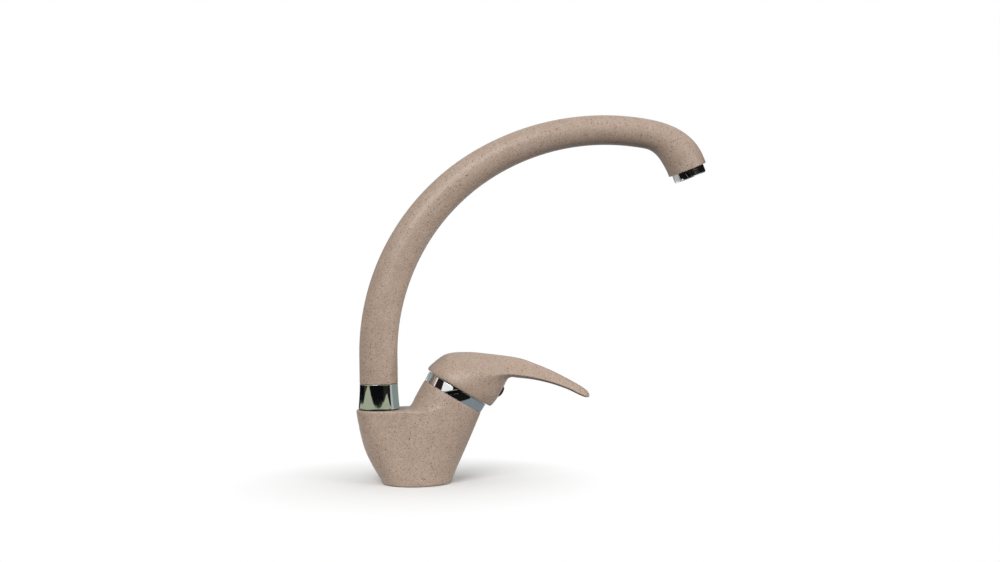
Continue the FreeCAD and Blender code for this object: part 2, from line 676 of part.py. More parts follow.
def cartridge_stem():
    half = "stem_width/2"
    ball = doc.addObject("Part::Sphere", "ball")
    ball.setExpression("Radius", formula("ball_radius"))
    place(ball, "0", "0", "%s-stem_tail" % PIVOT)
    stem = fuse([
        block("-" + half, half, half, "%s-stem_drop" % PIVOT, "%s+stem_rise" % PIVOT),
        rod("tail_radius", "%s-stem_tail" % PIVOT, "%s-stem_drop+0.5" % PIVOT),
        ball,
    ])
    stem = cut(stem, [cross_pin("pin_radius+pin_gap", "stem_width", PIVOT)])
    return keep(in_tower(stem), "cartridge_stem")


RING_SEAL = "(nut_collar*0.52)"


def cartridge_nut():
    bore = "neck_radius+0.2"
    nut = turned([
        (bore, PLATE_TOP),
        ("nut_radius", PLATE_TOP),
        ("nut_radius", "-0.2"),
        ("nut_collar_radius", "0.2"),
        ("nut_collar_radius", "nut_collar"),
        (bore, "nut_collar"),
    ])
    groove = turned([
        ("nut_collar_radius-1.2", "%s-1" % RING_SEAL),
        ("nut_collar_radius+1", "%s-1" % RING_SEAL),
        ("nut_collar_radius+1", "%s+1" % RING_SEAL),
        ("nut_collar_radius-1.2", "%s+1" % RING_SEAL),
    ])
    notches = block("-nut_radius-1", "nut_radius+1", "1.5", "nut_collar-1.2", "nut_collar+1")
    across = block("-1.5", "1.5", "nut_radius+1", "nut_collar-1.2", "nut_collar+1")
    return keep(in_tower(cut(nut, [groove, notches, across])), "cartridge_nut")


def cover_ring():
    outer = "tower_radius+ring_flare"
    ring = turned([
        ("ring_bore", "0"),
        ("tower_radius-0.3", "0"),
        ("tower_radius", "0.3"),
        (outer, "ring_height-0.4"),
        (outer + "-0.4", "ring_height"),
        ("ring_eye", "ring_height"),
        ("ring_eye", "ring_height-ring_lip"),
        ("ring_bore", "ring_height-ring_lip"),
    ])
    keep(in_tower(ring), "cover_ring")
    seal = o_ring("ring_bore-0.95", "0.9", RING_SEAL)
    keep(in_tower(group([seal])), "cover_ring_seal")


# Rows of the cap's outline, from the rim up: rear point inward and up, front point outward and up,
# how much the half width draws in, and how far the widest place moves towards the front or underside
CAP_ROWS = (
    (0.6, 0.0, -0.6, 0.0, 0.6, 0.0),
    (0.0, 1.0, -0.1, 1.0, 0.0, 0.0),
    (1.05, 5.8, 0.85, 6.3, -0.2, 0.02),
    (6.4, 17.0, 0.85, 14.8, 1.0, 0.08),
    (18.85, 25.9, 0.3, 22.8, 3.8, 0.18),
    (35.3, 33.7, 0.9, 26.1, 7.5, 0.28),
)
LEVER_SHARES = (0.0, 0.22, 0.45, 0.7, 0.9)
LEVER_LEAN = 0.35
TIP_ROWS = ((0.97, 0.75, 0.8), (1.0, 0.35, 0.55))
LOOP_POINTS = 16


def section_loop(rear, front, half_width, lean):
    """A closed oval through a rear or top point and a front or under point, its widest place leaning to the second."""
    middle = (rear + front) * 0.5
    along = (rear - front) * 0.5
    across = FreeCAD.Vector(0, half_width, 0)
    points = []
    for index in range(LOOP_POINTS):
        angle = 2 * pi * index / LOOP_POINTS
        points.append(middle + along * (cos(angle) - lean * sin(angle) ** 2) + across * sin(angle))
    curve = Part.BSplineCurve()
    curve.interpolate(Points=points, PeriodicFlag=True)
    return Part.Wire([curve.toShape()])


def lever_section(share, thin=1.0, slim=1.0):
    """An oval square to the lever's curve at a share of its length."""
    start = radians(size("lever_start"))
    bend = size("lever_bend")
    heading = start - share * size("lever_length") / bend
    x = size("lever_root_reach") + bend * (sin(start) - sin(heading))
    z = size(RIM) + size("lever_root_rise") + bend * (cos(heading) - cos(start))
    taper = (1 - share) ** 1.5
    half = size("lever_tip_half") + (size("lever_root_half") - size("lever_tip_half")) * taper
    width = size("lever_tip_width") + (size("lever_root_width") - size("lever_tip_width")) * taper
    normal = FreeCAD.Vector(-sin(heading), 0, cos(heading)) * half * thin
    middle = FreeCAD.Vector(x, 0, z)
    return section_loop(middle + normal, middle - normal, width * slim, LEVER_LEAN)


def handle_skin():
    """The cap and lever as one smooth form, in the tower's own frame."""
    rim = size(RIM)
    radius = size("cap_radius")
    shift = size("cap_shift")
    loops = []
    for rear_in, rear_up, front_out, front_up, width_in, lean in CAP_ROWS:
        rear = FreeCAD.Vector(shift - radius + rear_in, 0, rim + rear_up)
        front = FreeCAD.Vector(shift + radius + front_out, 0, rim + front_up)
        loops.append(section_loop(rear, front, radius - width_in, lean))
    for share in LEVER_SHARES:
        loops.append(lever_section(share))
    for share, thin, slim in TIP_ROWS:
        loops.append(lever_section(share, thin, slim))
    skin = doc.addObject("Part::Feature", "handle_skin")
    skin.Shape = Part.makeLoft(loops, True, False)
    return skin


def handle():
    cavity = place(turned([
        ("0", "%s-1" % RIM),
        ("cap_radius-cap_wall", "%s-1" % RIM),
        ("cap_radius-cap_wall", "%s+1.5" % RIM),
        ("cap_radius-cap_wall-1.2", "%s+5.5" % RIM),
        ("cap_radius-cap_wall-3", "%s+9.5" % RIM),
        ("cap_radius-cap_wall-7.5", "%s+17" % RIM),
        ("cap_radius-cap_wall-12", "%s+20" % RIM),
        ("0", "%s+20" % RIM),
    ]), "cap_shift")
    shell = cut(handle_skin(), [cavity])
    post = rod("post_radius", "%s+post_start" % RIM, "%s+21" % RIM)
    bridge = lying_rod("bridge_radius", "0", "plug_seat-2", SCREW_LEVEL)
    half = "(stem_width/2+post_fit)"
    tools = [
        block("-" + half, half, half, "%s" % RIM, "%s+stem_rise+0.3" % PIVOT),
        lying_rod("screw_radius", "stem_width/2-0.5", "plug_seat-plug_length-1", SCREW_LEVEL),
        lying_rod("plug_radius+0.05", "plug_seat-plug_length-0.5", "plug_seat+1", SCREW_LEVEL),
        lying_rod("plug_head+0.1", "plug_seat", "plug_seat+20", SCREW_LEVEL),
    ]
    return keep(in_tower(cut(fuse([shell, post, bridge]), tools)), "handle")


def hex_hole(across, depth, start, z):
    """A six-sided hole along X for a hexagon key."""
    thing = doc.addObject("Part::Prism", "hex_hole")
    thing.Polygon = 6
    thing.setExpression("Circumradius", formula("(%s)/2/cos(30)" % across))
    thing.setExpression("Height", formula(depth))
    return place(thing, start, "0", z, "90")


def handle_screw():
    end = "stem_width/2+screw_length"
    screw = lying_rod("screw_radius-0.05", "stem_width/2+0.05", end, SCREW_LEVEL)
    key = hex_hole("2.5", "3", "%s-2.5" % end, SCREW_LEVEL)
    return keep(in_tower(cut(screw, [key])), "handle_screw")


def index_plug():
    shank = lying_rod("plug_radius", "plug_seat-plug_length", "plug_seat+0.3", SCREW_LEVEL)
    head = turned([
        ("0", "0"),
        ("plug_head", "0"),
        ("plug_head", "plug_dome*0.55"),
        ("plug_head*0.82", "plug_dome*0.85"),
        ("plug_head*0.45", "plug_dome"),
        ("0", "plug_dome"),
    ])
    place(head, "plug_seat", "0", SCREW_LEVEL, "90")
    return keep(in_tower(fuse([shank, head])), "index_plug")


def retaining_screw():
    """The grub screw at the back of the body, its dog point in the tail's groove."""
    tip = "-%s-0.4" % GROOVE_FLOOR
    shoulder = "-tail_outer-socket_gap-0.3"
    outer = "-tail_outer-3"
    key = hex_hole("2.5", "2.5", "%s-1" % outer, SCREW_Z)
    screw = fuse([
        lying_rod("screw_radius-0.6", shoulder + "-0.5", tip, SCREW_Z),
        lying_rod("screw_radius-0.05", outer, shoulder, SCREW_Z),
    ])
    return keep(in_socket(cut(screw, [key])), "spout_retaining_screw")


def tail_groove(rise, half_width, depth):
    """A ring-shaped groove round the spout tail, centred at a share of the socket's depth."""
    middle = "(%s+socket_depth*%s)" % (SOCKET_LOW, rise)
    return turned([
        ("tail_outer-%s" % depth, "%s-%s" % (middle, half_width)),
        ("tail_outer+1", "%s-%s" % (middle, half_width)),
        ("tail_outer+1", "%s+%s" % (middle, half_width)),
        ("tail_outer-%s" % depth, "%s+%s" % (middle, half_width)),
    ])


LOW_RING = "0.22"
SCREW_GROOVE = "0.48"
HIGH_RING = "0.71"
GUIDE_RING = "0.89"


def spout_tail():
    step = "%s+0.3" % SLIP_TOP
    tail = turned([
        ("tail_bore", TAIL_LOW),
        ("tail_outer-tail_bevel", TAIL_LOW),
        ("tail_outer", "%s+tail_bevel" % TAIL_LOW),
        ("tail_outer", step),
        (SPIGOT, step),
        (SPIGOT, "%s+spigot_length" % TUBE_LOW),
        ("tail_bore", "%s+spigot_length" % TUBE_LOW),
    ])
    grooves = [
        tail_groove(LOW_RING, "ring_groove_half", "(2*ring_wire+0.05)"),
        tail_groove(SCREW_GROOVE, "screw_groove_half", "groove_depth"),
        tail_groove(HIGH_RING, "ring_groove_half", "(2*ring_wire+0.05)"),
        tail_groove(GUIDE_RING, "(guide_half+0.1)", "(guide_depth+0.05)"),
    ]
    return keep(in_socket(cut(tail, grooves)), "spout_tail")


def tail_rings():
    middle = "tail_outer-ring_wire"
    rings = []
    for rise in (LOW_RING, HIGH_RING):
        rings.append(o_ring(middle, "ring_wire", "%s+socket_depth*%s" % (SOCKET_LOW, rise)))
    keep(in_socket(group(rings)), "spout_o_rings")
    level = "(%s+socket_depth*%s)" % (SOCKET_LOW, GUIDE_RING)
    guide = turned([
        ("tail_outer-guide_depth", level + "-guide_half"),
        ("tail_outer+guide_proud", level + "-guide_half"),
        ("tail_outer+guide_proud", level + "+guide_half"),
        ("tail_outer-guide_depth", level + "+guide_half"),
    ])
    keep(in_socket(guide), "tail_guide_ring")


def slip_ring():
    ring = turned([
        ("tail_outer+0.4", "seat_height"),
        ("slip_radius", "seat_height"),
        ("slip_radius", SLIP_TOP),
        ("tail_outer+0.4", SLIP_TOP),
    ])
    return keep(in_socket(ring), "spout_slip_ring")


def spout_collar():
    bore = "%s+spigot_gap" % SPIGOT
    collar = turned([
        (bore, COLLAR_LOW),
        ("collar_foot-0.3", COLLAR_LOW),
        ("collar_foot", "%s+0.3" % COLLAR_LOW),
        ("collar_top+(collar_foot-collar_top)*collar_waist", "%s+collar_height/2" % COLLAR_LOW),
        ("collar_top", "%s-0.3" % COLLAR_TOP),
        ("collar_top-0.3", COLLAR_TOP),
        (bore, COLLAR_TOP),
    ])
    return keep(in_socket(collar), "spout_collar")


# Stations of the spout's path: riser, first bend, crown, tight bend, outlet
BEND_START = "(%s+riser_length)" % TUBE_LOW
CROWN_X = "(neck_bend*(1-cos(neck_sweep))-swivel_offset)"
CROWN_Z = "(%s+neck_bend*sin(neck_sweep))" % BEND_START
TIP_TILT = "(neck_sweep+crown_sweep)"
TIP_X = "(%s+crown_bend*(cos(neck_sweep)-cos%s))" % (CROWN_X, TIP_TILT)
TIP_Z = "(%s+crown_bend*(sin%s-sin(neck_sweep)))" % (CROWN_Z, TIP_TILT)
OUTLET_TILT = "(%s+tip_sweep)" % TIP_TILT
OUTLET_X = "(%s+tip_bend*(cos%s-cos%s)+tip_length*sin%s)" % (TIP_X, TIP_TILT, OUTLET_TILT, OUTLET_TILT)
OUTLET_Z = "(%s+tip_bend*(sin%s-sin%s)+tip_length*cos%s)" % (TIP_Z, OUTLET_TILT, TIP_TILT, OUTLET_TILT)
NECK_HOOPS = 6
CROWN_HOOPS = 5
TIP_HOOPS = 6
TAPER_START = 0.045
TAPER_END = 0.9
FLARE_END = 0.88


def ease(share):
    """Goes smoothly from 0 to 1, level at both ends."""
    return (1 - cos(pi * min(max(share, 0), 1))) / 2


def narrowed(share, inward):
    """The spout's radius at a share of the way from its riser to the tight bend."""
    narrowing = ease((share - TAPER_START) / (TAPER_END - TAPER_START))
    return "tube_radius+(crown_radius-tube_radius)*%.4f-%s" % (narrowing, inward)


def spout_stations(inward, extra):
    """Hoops along the spout, drawn in by a wall, with the ends moved out by an extra length."""
    foot = "tube_radius-%s" % inward
    hoops = [
        hoop(foot, "-swivel_offset", "%s-%s" % (TUBE_LOW, extra), "0"),
        hoop(foot, "-swivel_offset", "%s+riser_length*0.5" % TUBE_LOW, "0"),
    ]
    neck = size("neck_bend*neck_sweep")
    whole = neck + size("crown_bend*crown_sweep")
    for index in range(NECK_HOOPS):
        share = index / NECK_HOOPS
        angle = "(neck_sweep*%.4f)" % share
        x = "neck_bend*(1-cos%s)-swivel_offset" % angle
        z = "%s+neck_bend*sin%s" % (BEND_START, angle)
        hoops.append(hoop(narrowed(share * neck / whole, inward), x, z, angle))
    for index in range(CROWN_HOOPS):
        share = index / CROWN_HOOPS
        angle = "(neck_sweep+crown_sweep*%.4f)" % share
        x = "%s+crown_bend*(cos(neck_sweep)-cos%s)" % (CROWN_X, angle)
        z = "%s+crown_bend*(sin%s-sin(neck_sweep))" % (CROWN_Z, angle)
        hoops.append(hoop(narrowed((neck + share * (whole - neck)) / whole, inward), x, z, angle))
    for index in range(TIP_HOOPS):
        share = index / (TIP_HOOPS - 1)
        angle = "(%s+tip_sweep*%.4f)" % (TIP_TILT, share)
        flare = ease(share / FLARE_END)
        radius = "crown_radius+(%s-crown_radius)*%.4f-%s" % (MOUTH, flare, inward)
        x = "%s+tip_bend*(cos%s-cos%s)" % (TIP_X, TIP_TILT, angle)
        z = "%s+tip_bend*(sin%s-sin%s)" % (TIP_Z, angle, TIP_TILT)
        hoops.append(hoop(radius, x, z, angle))
    x = "%s+%s*sin%s" % (OUTLET_X, extra, OUTLET_TILT)
    z = "%s+%s*cos%s" % (OUTLET_Z, extra, OUTLET_TILT)
    hoops.append(hoop("%s-%s" % (MOUTH, inward), x, z, OUTLET_TILT))
    return hoops


def at_outlet(thing):
    """Stands a thing on the outlet's axis, measured outward from the mouth."""
    return place(thing, OUTLET_X, "0", OUTLET_Z, OUTLET_TILT)


def spout():
    outside = loft(spout_stations("0", "0"))
    inside = loft(spout_stations("tube_wall", "1"))
    pocket = at_outlet(group([rod(BUSH_OUTER + "+bush_fit", "-bush_length-0.2", "1")]))
    return keep(cut(outside, [inside, pocket]), "spout")


def outlet_bush():
    bush = turned([
        ("aerator_radius-washer_width", "-bush_length"),
        (BUSH_OUTER, "-bush_length"),
        (BUSH_OUTER, "-bush_sunk"),
        (BUSH_BORE, "-bush_sunk"),
        (BUSH_BORE, "-bush_length+bush_shelf"),
        ("aerator_radius-washer_width", "-bush_length+bush_shelf"),
    ])
    return keep(at_outlet(bush), "outlet_bush")


def aerator_washer():
    washer = turned([
        ("aerator_radius-washer_width", "-bush_length+bush_shelf"),
        ("aerator_radius", "-bush_length+bush_shelf"),
        ("aerator_radius", "-bush_length+bush_shelf+washer_thick"),
        ("aerator_radius-washer_width", "-bush_length+bush_shelf+washer_thick"),
    ])
    return keep(at_outlet(washer), "aerator_washer")


AERATOR_LOW = "(-bush_length+bush_shelf+washer_thick)"
AERATOR_BORE = "(aerator_radius-aerator_wall)"


def aerator_housing():
    shell = turned([
        (AERATOR_BORE, AERATOR_LOW),
        ("aerator_radius", AERATOR_LOW),
        ("aerator_radius", "aerator_proud-aerator_edge"),
        ("aerator_radius-aerator_edge", "aerator_proud"),
        (AERATOR_BORE + "-aerator_lip", "aerator_proud"),
        (AERATOR_BORE + "-aerator_lip", "aerator_proud-aerator_lip"),
        (AERATOR_BORE, "aerator_proud-aerator_lip"),
    ])
    return keep(at_outlet(shell), "aerator_housing")


GRID_TOP = "(aerator_proud-aerator_lip)"
GRID_LOW = "(%s-grid_thick)" % GRID_TOP
FIT = "insert_fit"


def grid_cells(limit, pitch):
    """Centres of square cells within a circle."""
    reach = int(limit / pitch)
    cells = []
    for column in range(-reach, reach + 1):
        for row in range(-reach, reach + 1):
            if ((abs(column) + 0.5) ** 2 + (abs(row) + 0.5) ** 2) ** 0.5 * pitch < limit:
                cells.append((column, row))
    return cells


def aerator_grid():
    """The honeycomb that straightens the water."""
    tools = []
    for column, row in grid_cells(size(AERATOR_BORE + "-grid_rim"), size("grid_pitch")):
        cell = block("grid_pitch*%d-grid_cell/2" % column, "grid_pitch*%d+grid_cell/2" % column,
                     "grid_cell/2", "%s-1" % GRID_LOW, "%s+1" % GRID_TOP, "grid_pitch*%d" % row)
        tools.append(cell)
    disc = rod("%s-%s" % (AERATOR_BORE, FIT), GRID_LOW, GRID_TOP)
    return keep(at_outlet(cut(disc, [group(tools)])), "aerator_grid")


def aerator_screens():
    """Two fine screens above the grid."""
    screens = []
    for rise in ("screen_gap", "(screen_gap+screen_step)"):
        low = "%s-%s-screen_thick" % (GRID_LOW, rise)
        screens.append(rod("%s-%s" % (AERATOR_BORE, FIT), low, low + "+screen_thick"))
    return keep(at_outlet(group(screens)), "aerator_screens")


JET_COUNT = 12


def aerator_insert():
    """The plastic cup with its ring of jets."""
    top = "%s+0.3" % AERATOR_LOW
    floor = "%s-insert_rise" % GRID_LOW
    cup = turned([
        ("0", floor + "-insert_wall"),
        (AERATOR_BORE + "-insert_wall", floor + "-insert_wall"),
        (AERATOR_BORE + "-insert_wall", top),
        (AERATOR_BORE + "-" + FIT, top),
        (AERATOR_BORE + "-" + FIT, floor),
        ("0", floor),
    ])
    jets = []
    for index in range(JET_COUNT):
        angle = 360.0 * index / JET_COUNT
        ring = "(aerator_radius*0.5)"
        x = "%s*cos(%s)" % (ring, angle)
        y = "%s*sin(%s)" % (ring, angle)
        jets.append(rod("jet_radius", floor + "-insert_wall-1", floor + "+1", x, y))
    return keep(at_outlet(cut(cup, [group(jets)])), "aerator_insert")


def check(things):
    """Stops before anything is written if a feature failed or a solid is not sound."""
    for thing in doc.Objects:
        if "Invalid" in thing.State or "Error" in thing.State:
            raise RuntimeError("%s failed: %s" % (thing.Name, thing.State))
    for thing in things:
        if thing.Shape.isNull() or not thing.Shape.isValid() or not thing.Shape.Solids:
            raise RuntimeError("%s is not a sound solid" % thing.Label)


def build():
    body()
    base_gasket()
    cartridge_base()
    seals()
    fixed_disc()
    cartridge_housing()
    cartridge_nut()
    cover_ring()
    slip_ring()
    retaining_screw()
    spout()
    spout_collar()
    spout_tail()
    tail_rings()
    outlet_bush()
    aerator_washer()
    aerator_housing()
    aerator_insert()
    aerator_screens()
    aerator_grid()
    stem_guide()
    stem_guide_seal()
    pivot_pin()
    disc_carrier()
    moving_disc()
    handle()
    handle_screw()
    index_plug()
    cartridge_stem()
    doc.recompute()


def write():
    os.makedirs("parts", exist_ok=True)
    for piece in pieces:
        piece.Shape.exportStep(os.path.join("parts", piece.Label + ".step"))
        print(piece.Label, len(piece.Shape.Solids), round(piece.Shape.Volume, 1))


build()
check(pieces)
write()
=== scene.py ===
import bmesh
import bpy
import json
import numpy as np
from math import cos, pi, radians, sin, tan
from mathutils import Matrix, Vector


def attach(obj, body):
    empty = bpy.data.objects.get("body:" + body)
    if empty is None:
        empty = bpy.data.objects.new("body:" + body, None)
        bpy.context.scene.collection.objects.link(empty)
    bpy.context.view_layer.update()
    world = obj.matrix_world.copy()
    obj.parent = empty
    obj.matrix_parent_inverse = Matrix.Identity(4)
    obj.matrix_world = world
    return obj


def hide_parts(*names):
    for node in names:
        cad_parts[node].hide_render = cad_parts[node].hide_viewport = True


# Looks of a single-lever kitchen mixer tap. The tap's sizes are in millimetres until a mesh is written, and
# the studio's are in metres.
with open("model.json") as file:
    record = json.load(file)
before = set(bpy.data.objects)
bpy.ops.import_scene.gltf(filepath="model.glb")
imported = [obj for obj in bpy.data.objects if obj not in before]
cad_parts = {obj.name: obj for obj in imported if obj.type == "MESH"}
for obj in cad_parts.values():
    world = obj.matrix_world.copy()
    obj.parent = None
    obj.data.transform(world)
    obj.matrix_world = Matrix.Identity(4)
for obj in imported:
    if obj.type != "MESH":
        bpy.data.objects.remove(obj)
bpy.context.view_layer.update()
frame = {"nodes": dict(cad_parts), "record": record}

MM = 0.001

# Edges sharper than this many degrees stay crisp
CRISP = 35
SPOUT_CRISP = 50

# Body casting
BASE_RADIUS = 24.9
SEAT_HEIGHT = 55.3
SWIVEL_BACK = 27.3
EDGE = 1.4
FILLET = 4.5
# Levels up the rear boss, and how far behind the foot's middle it reaches there
BOSS_REACHES = ((0.0, BASE_RADIUS - 0.3), (10.8, 31.3), (25.1, 38.1), (38.7, 41.7), (SEAT_HEIGHT, 44.3))
BOSS_RADIUS = 17.0
BOSS_FOOT_INSET = 1.5
WEB_INSET = 1.3
WEB_TOP_INSET = 0.75
WEB_TOP_BACK = 9
TOWER_TILT = radians(31.2)
TOWER_REACH = 27.95
TOWER_HEIGHT = 63.9
TOWER_RADIUS = 24.2
TOWER_EDGE = 0.6 * EDGE
SWELL_RADIUS = 25.3
SWELL_DEPTH = 22.0
SWELL_SHIFT = 1.8

# The casting's skin is laid over cells of this size in a box from low to high
CELL = 0.8
CASTING_LOW = (-48, -29, -1.6)
CASTING_HIGH = (55, 29, 80)

# Bores in the casting. Their tools start past its faces and run a little into each other
PAST = 2
OVERLAP = 0.5
CHAMBER_RADIUS = 20.2
CHAMBER_FLOOR = -31.04
THREAD_RADIUS = 21.2
THREAD_DEPTH = 4.7
SOCKET_RADIUS = 11.5
SOCKET_FLOOR = 32.8
WELL_RADIUS = 7
WELL_DEPTH = 11
WELL_FORWARD = 2
SCREW_HEIGHT = 43.6
SCREW_RADIUS = 2.5
SCREW_END = 9.8
INLET_REACH = 0.73
INLET_SPREAD = 8.5
INLET_RADIUS = 4.5
INLET_DEPTH = 12
STUD_BACK = 12.0
STUD_RADIUS = 3.4
STUD_DEPTH = 14
GROOVE_INNER = 20.4
GROOVE_OUTER = 23.4
GROOVE_DEPTH = 1.8

# Ring under the handle, collar under the spout, and the slip ring under the collar
RING_HEIGHT = 6.9
RING_FOOT = TOWER_RADIUS - 0.1
RING_TOP = TOWER_RADIUS + 0.25
RING_BORE = 21.3
RING_OPENING = 15.5
RING_FLANGE = 1.5
COLLAR_LOW = 56.15
COLLAR_TOP = 74.55
COLLAR_BORE = 12.2
COLLAR_FLARE = 1.2
COLLAR_CURVE = 1.74
SLIP_BORE = 11.85
SLIP_RADIUS = 14.9
SLIP_THICK = 0.8

# Handle cap
CAP_RIM = 7.8
CAP_RADIUS = 27.5
CAP_SHIFT = 1.05
HANDLE_ROWS = 140
RIDGE_SOFTNESS = 0.16
# Rows from the rim up: rear point inward and up, front point outward and up, how much the half width draws
# in, how far the widest place moves to the front or underside, and how sharp the side ridge is
CAP_ROWS = (
    (0.6, 0.0, -0.6, 0.0, 0.6, 0.0, 0.0),
    (0.0, 1.0, -0.1, 1.0, 0.0, 0.0, 0.0),
    (1.05, 5.8, 0.85, 6.3, -0.2, 0.02, 0.0),
    (6.4, 17.0, 0.85, 14.8, 1.0, 0.12, 0.2),
    (18.85, 25.9, 0.3, 22.8, 3.8, 0.36, 0.6),
    (35.3, 33.7, 0.9, 26.1, 7.5, 0.55, 0.8),
)

# Lever
LEVER_ROOT = (30.9, CAP_RIM + 35.0)
LEVER_LENGTH = 59.3
LEVER_BEND = 158.0
LEVER_START = radians(19.5)
# Where its rows lie as shares of its length. Those at the tip are thinner and slimmer by two factors
LEVER_SHARES = (0.0, 0.22, 0.45, 0.7, 0.9)
LEVER_TIP = ((0.97, 0.75, 0.8), (1.0, 0.35, 0.55))
# Half its thickness and half its width, at the root and at the tip
LEVER_HALVES = (7.1, 2.9)
LEVER_WIDTHS = (17.0, 9.0)
LEVER_TAPER = 1.5
LEVER_LEAN = 0.62
LEVER_RIDGE = 0.75
RIDGE_FADE = 0.6

# Inside the handle
CAP_WALL = 1.8
CAVITY_ROOF = 20
# How far in from its widest place the cavity's wall lies, and how far up from the cap's rim
CAVITY_WALL = ((0, -1), (0, 1.5), (1.2, 5.5), (3, 9.5), (7.5, 17), (12, CAVITY_ROOF))
POST_RADIUS = 7.2
POST_FOOT = 5.3
POST_TOP = 21
STEM_HALF = 4.05
STEM_TOP = 26
SCREW_FROM = 3.5
PLUG_LEVEL = 21.0
PLUG_SEAT = 27.6
PLUG_BOSS = 4.4
PLUG_RADIUS = 4.6
PLUG_RECESS = 4.7
PLUG_SHANK = 3.0
PLUG_HOLE = 3.05
PLUG_LENGTH = 7.0
PLUG_SIDE = 1.4
PLUG_DOME = 2.2

# Spout
TUBE_LOW = 74.95
RISER = 20.5
NECK_BEND = 165.4
NECK_RUN = NECK_BEND * radians(60.0)
CROWN_BEND = 180.1
CROWN_RUN = CROWN_BEND * radians(40.7)
ARCH = NECK_RUN + CROWN_RUN
TIP_BEND = 39.5
TIP_RUN = TIP_BEND * radians(57.9)
TIP_LENGTH = 3.0
SPOUT_LENGTH = RISER + ARCH + TIP_RUN + TIP_LENGTH
TUBE_RADIUS = 14.2
TUBE_WALL = 2.0
CROWN_RADIUS = 11.18
MOUTH_RADIUS = 14.9
# Shares of the arch between which the tube narrows, and the share of the tip over which it widens
TAPER_FROM = 0.045
TAPER_TO = 0.9
FLARE_TO = 0.88
END_RUN = 0.9
END_EDGE = 0.45
BUSH_POCKET = 13.55
POCKET_DEPTH = 9.2

# Outlet
AERATOR_RADIUS = 12.5
AERATOR_PROUD = 6.4
AERATOR_DEEP = 6.4
AERATOR_BORE = 10.8
AERATOR_LIP = 0.8
AERATOR_CHAMFER = 0.7
GRID_TOP = 5.6
GRID_THICK = 2.4
GRID_CELL_THICK = GRID_THICK - 0.1
GRID_RADIUS = 10.2
GRID_PITCH = 2.3
GRID_BAR = 0.6
GRID_BARS = 8.0
GRID_RIM = (9.8, 10.7)
# How deep each screen lies under the grid, and the pitch of its wires
SCREENS = ((0.5, 0.9), (1.4, 0.75))
SCREEN_RADIUS = 10.6
SCREEN_ACROSS = 20.6
WIRE_WIDTH = 0.22
WIRE_DEPTH = 0.16
WIRE_STEP = 0.17


# Places along the tap's own axes

def upright(points):
    """Points that are in the tap's frame already."""
    return np.asarray(points, float)


def in_tower(points):
    """From the cartridge axis (forward, across, up from the tower's top face) to the tap's frame."""
    points = np.asarray(points, float)
    forward, across, up = points[..., 0], points[..., 1], points[..., 2]
    x = TOWER_REACH + forward * cos(TOWER_TILT) + up * sin(TOWER_TILT)
    z = TOWER_HEIGHT - forward * sin(TOWER_TILT) + up * cos(TOWER_TILT)
    return np.stack([x, across, z], axis=-1)


def in_cap(points):
    """From the handle cap's own axis, a little before the cartridge's, to the tap's frame."""
    return in_tower(np.asarray(points, float) + [CAP_SHIFT, 0, 0])


def in_plug(points):
    """From the index plug's own axis, outward from its seat, to the tap's frame."""
    points = np.asarray(points, float)
    forward, across, up = PLUG_SEAT + points[..., 2], points[..., 1], PLUG_LEVEL - points[..., 0]
    return in_tower(np.stack([forward, across, up], axis=-1))


def on_swivel(points):
    """From the spout's swivel axis to the tap's frame."""
    return np.asarray(points, float) + np.array([-SWIVEL_BACK, 0.0, 0.0])


def path_point(length):
    """Centre and heading of the spout at a length along it from its foot."""
    x, z, heading = -SWIVEL_BACK, TUBE_LOW, 0.0
    for run, bend in ((RISER, None), (NECK_RUN, NECK_BEND), (CROWN_RUN, CROWN_BEND), (TIP_RUN, TIP_BEND),
                      (TIP_LENGTH, None)):
        step = min(length, run)
        if bend is None:
            x += step * sin(heading)
            z += step * cos(heading)
        else:
            turned_to = heading + step / bend
            x += bend * (cos(heading) - cos(turned_to))
            z += bend * (sin(turned_to) - sin(heading))
            heading = turned_to
        length -= step
        if length <= 0:
            break
    return x, z, heading


OUTLET = path_point(SPOUT_LENGTH)


def at_outlet(points, level=0):
    """From a level on the outlet's axis, outward from the mouth, to the tap's frame."""
    points = np.asarray(points, float) + [0, 0, level]
    x, z, heading = OUTLET
    forward, across, out = points[..., 0], points[..., 1], points[..., 2]
    return np.stack([
        x + forward * cos(heading) + out * sin(heading),
        across,
        z - forward * sin(heading) + out * cos(heading),
    ], axis=-1)


# Making meshes

def placed(name, data):
    """A new object of a mesh, lamp or camera, in the scene."""
    item = bpy.data.objects.new(name, data)
    bpy.context.collection.objects.link(item)
    return item


def laid(name, points, faces):
    """A mesh object at the origin, its points given in mm."""
    mesh = bpy.data.meshes.new(name)
    mesh.from_pydata([tuple(point) for point in np.asarray(points, float) * MM], [], faces)
    return placed(name, mesh)


def point_outwards(piece):
    """Merges doubles and turns all faces outwards."""
    work = bmesh.new()
    work.from_mesh(piece.data)
    bmesh.ops.remove_doubles(work, verts=work.verts, dist=1e-7)
    bmesh.ops.recalc_face_normals(work, faces=work.faces)
    work.to_mesh(piece.data)
    work.free()


def finish_shading(piece, crisp):
    """Shades a piece smooth but for edges sharper than an angle."""
    piece.data.polygons.foreach_set("use_smooth", [True] * len(piece.data.polygons))
    piece.data.set_sharp_from_angle(angle=radians(crisp))
    piece.data.update()


def settle(piece, name):
    """Leaves the result of a piece's modifiers as its plain mesh."""
    bpy.context.view_layer.update()
    mesh = bpy.data.meshes.new_from_object(piece.evaluated_get(bpy.context.evaluated_depsgraph_get()))
    piece.modifiers.clear()
    mesh.name = name
    piece.data = mesh


def new_piece(name, points, faces, body, material):
    """A finished piece that rides on a body."""
    piece = laid(name, points, faces)
    piece.data.validate()
    piece.data.materials.append(material)
    point_outwards(piece)
    finish_shading(piece, CRISP)
    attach(piece, body)
    return piece


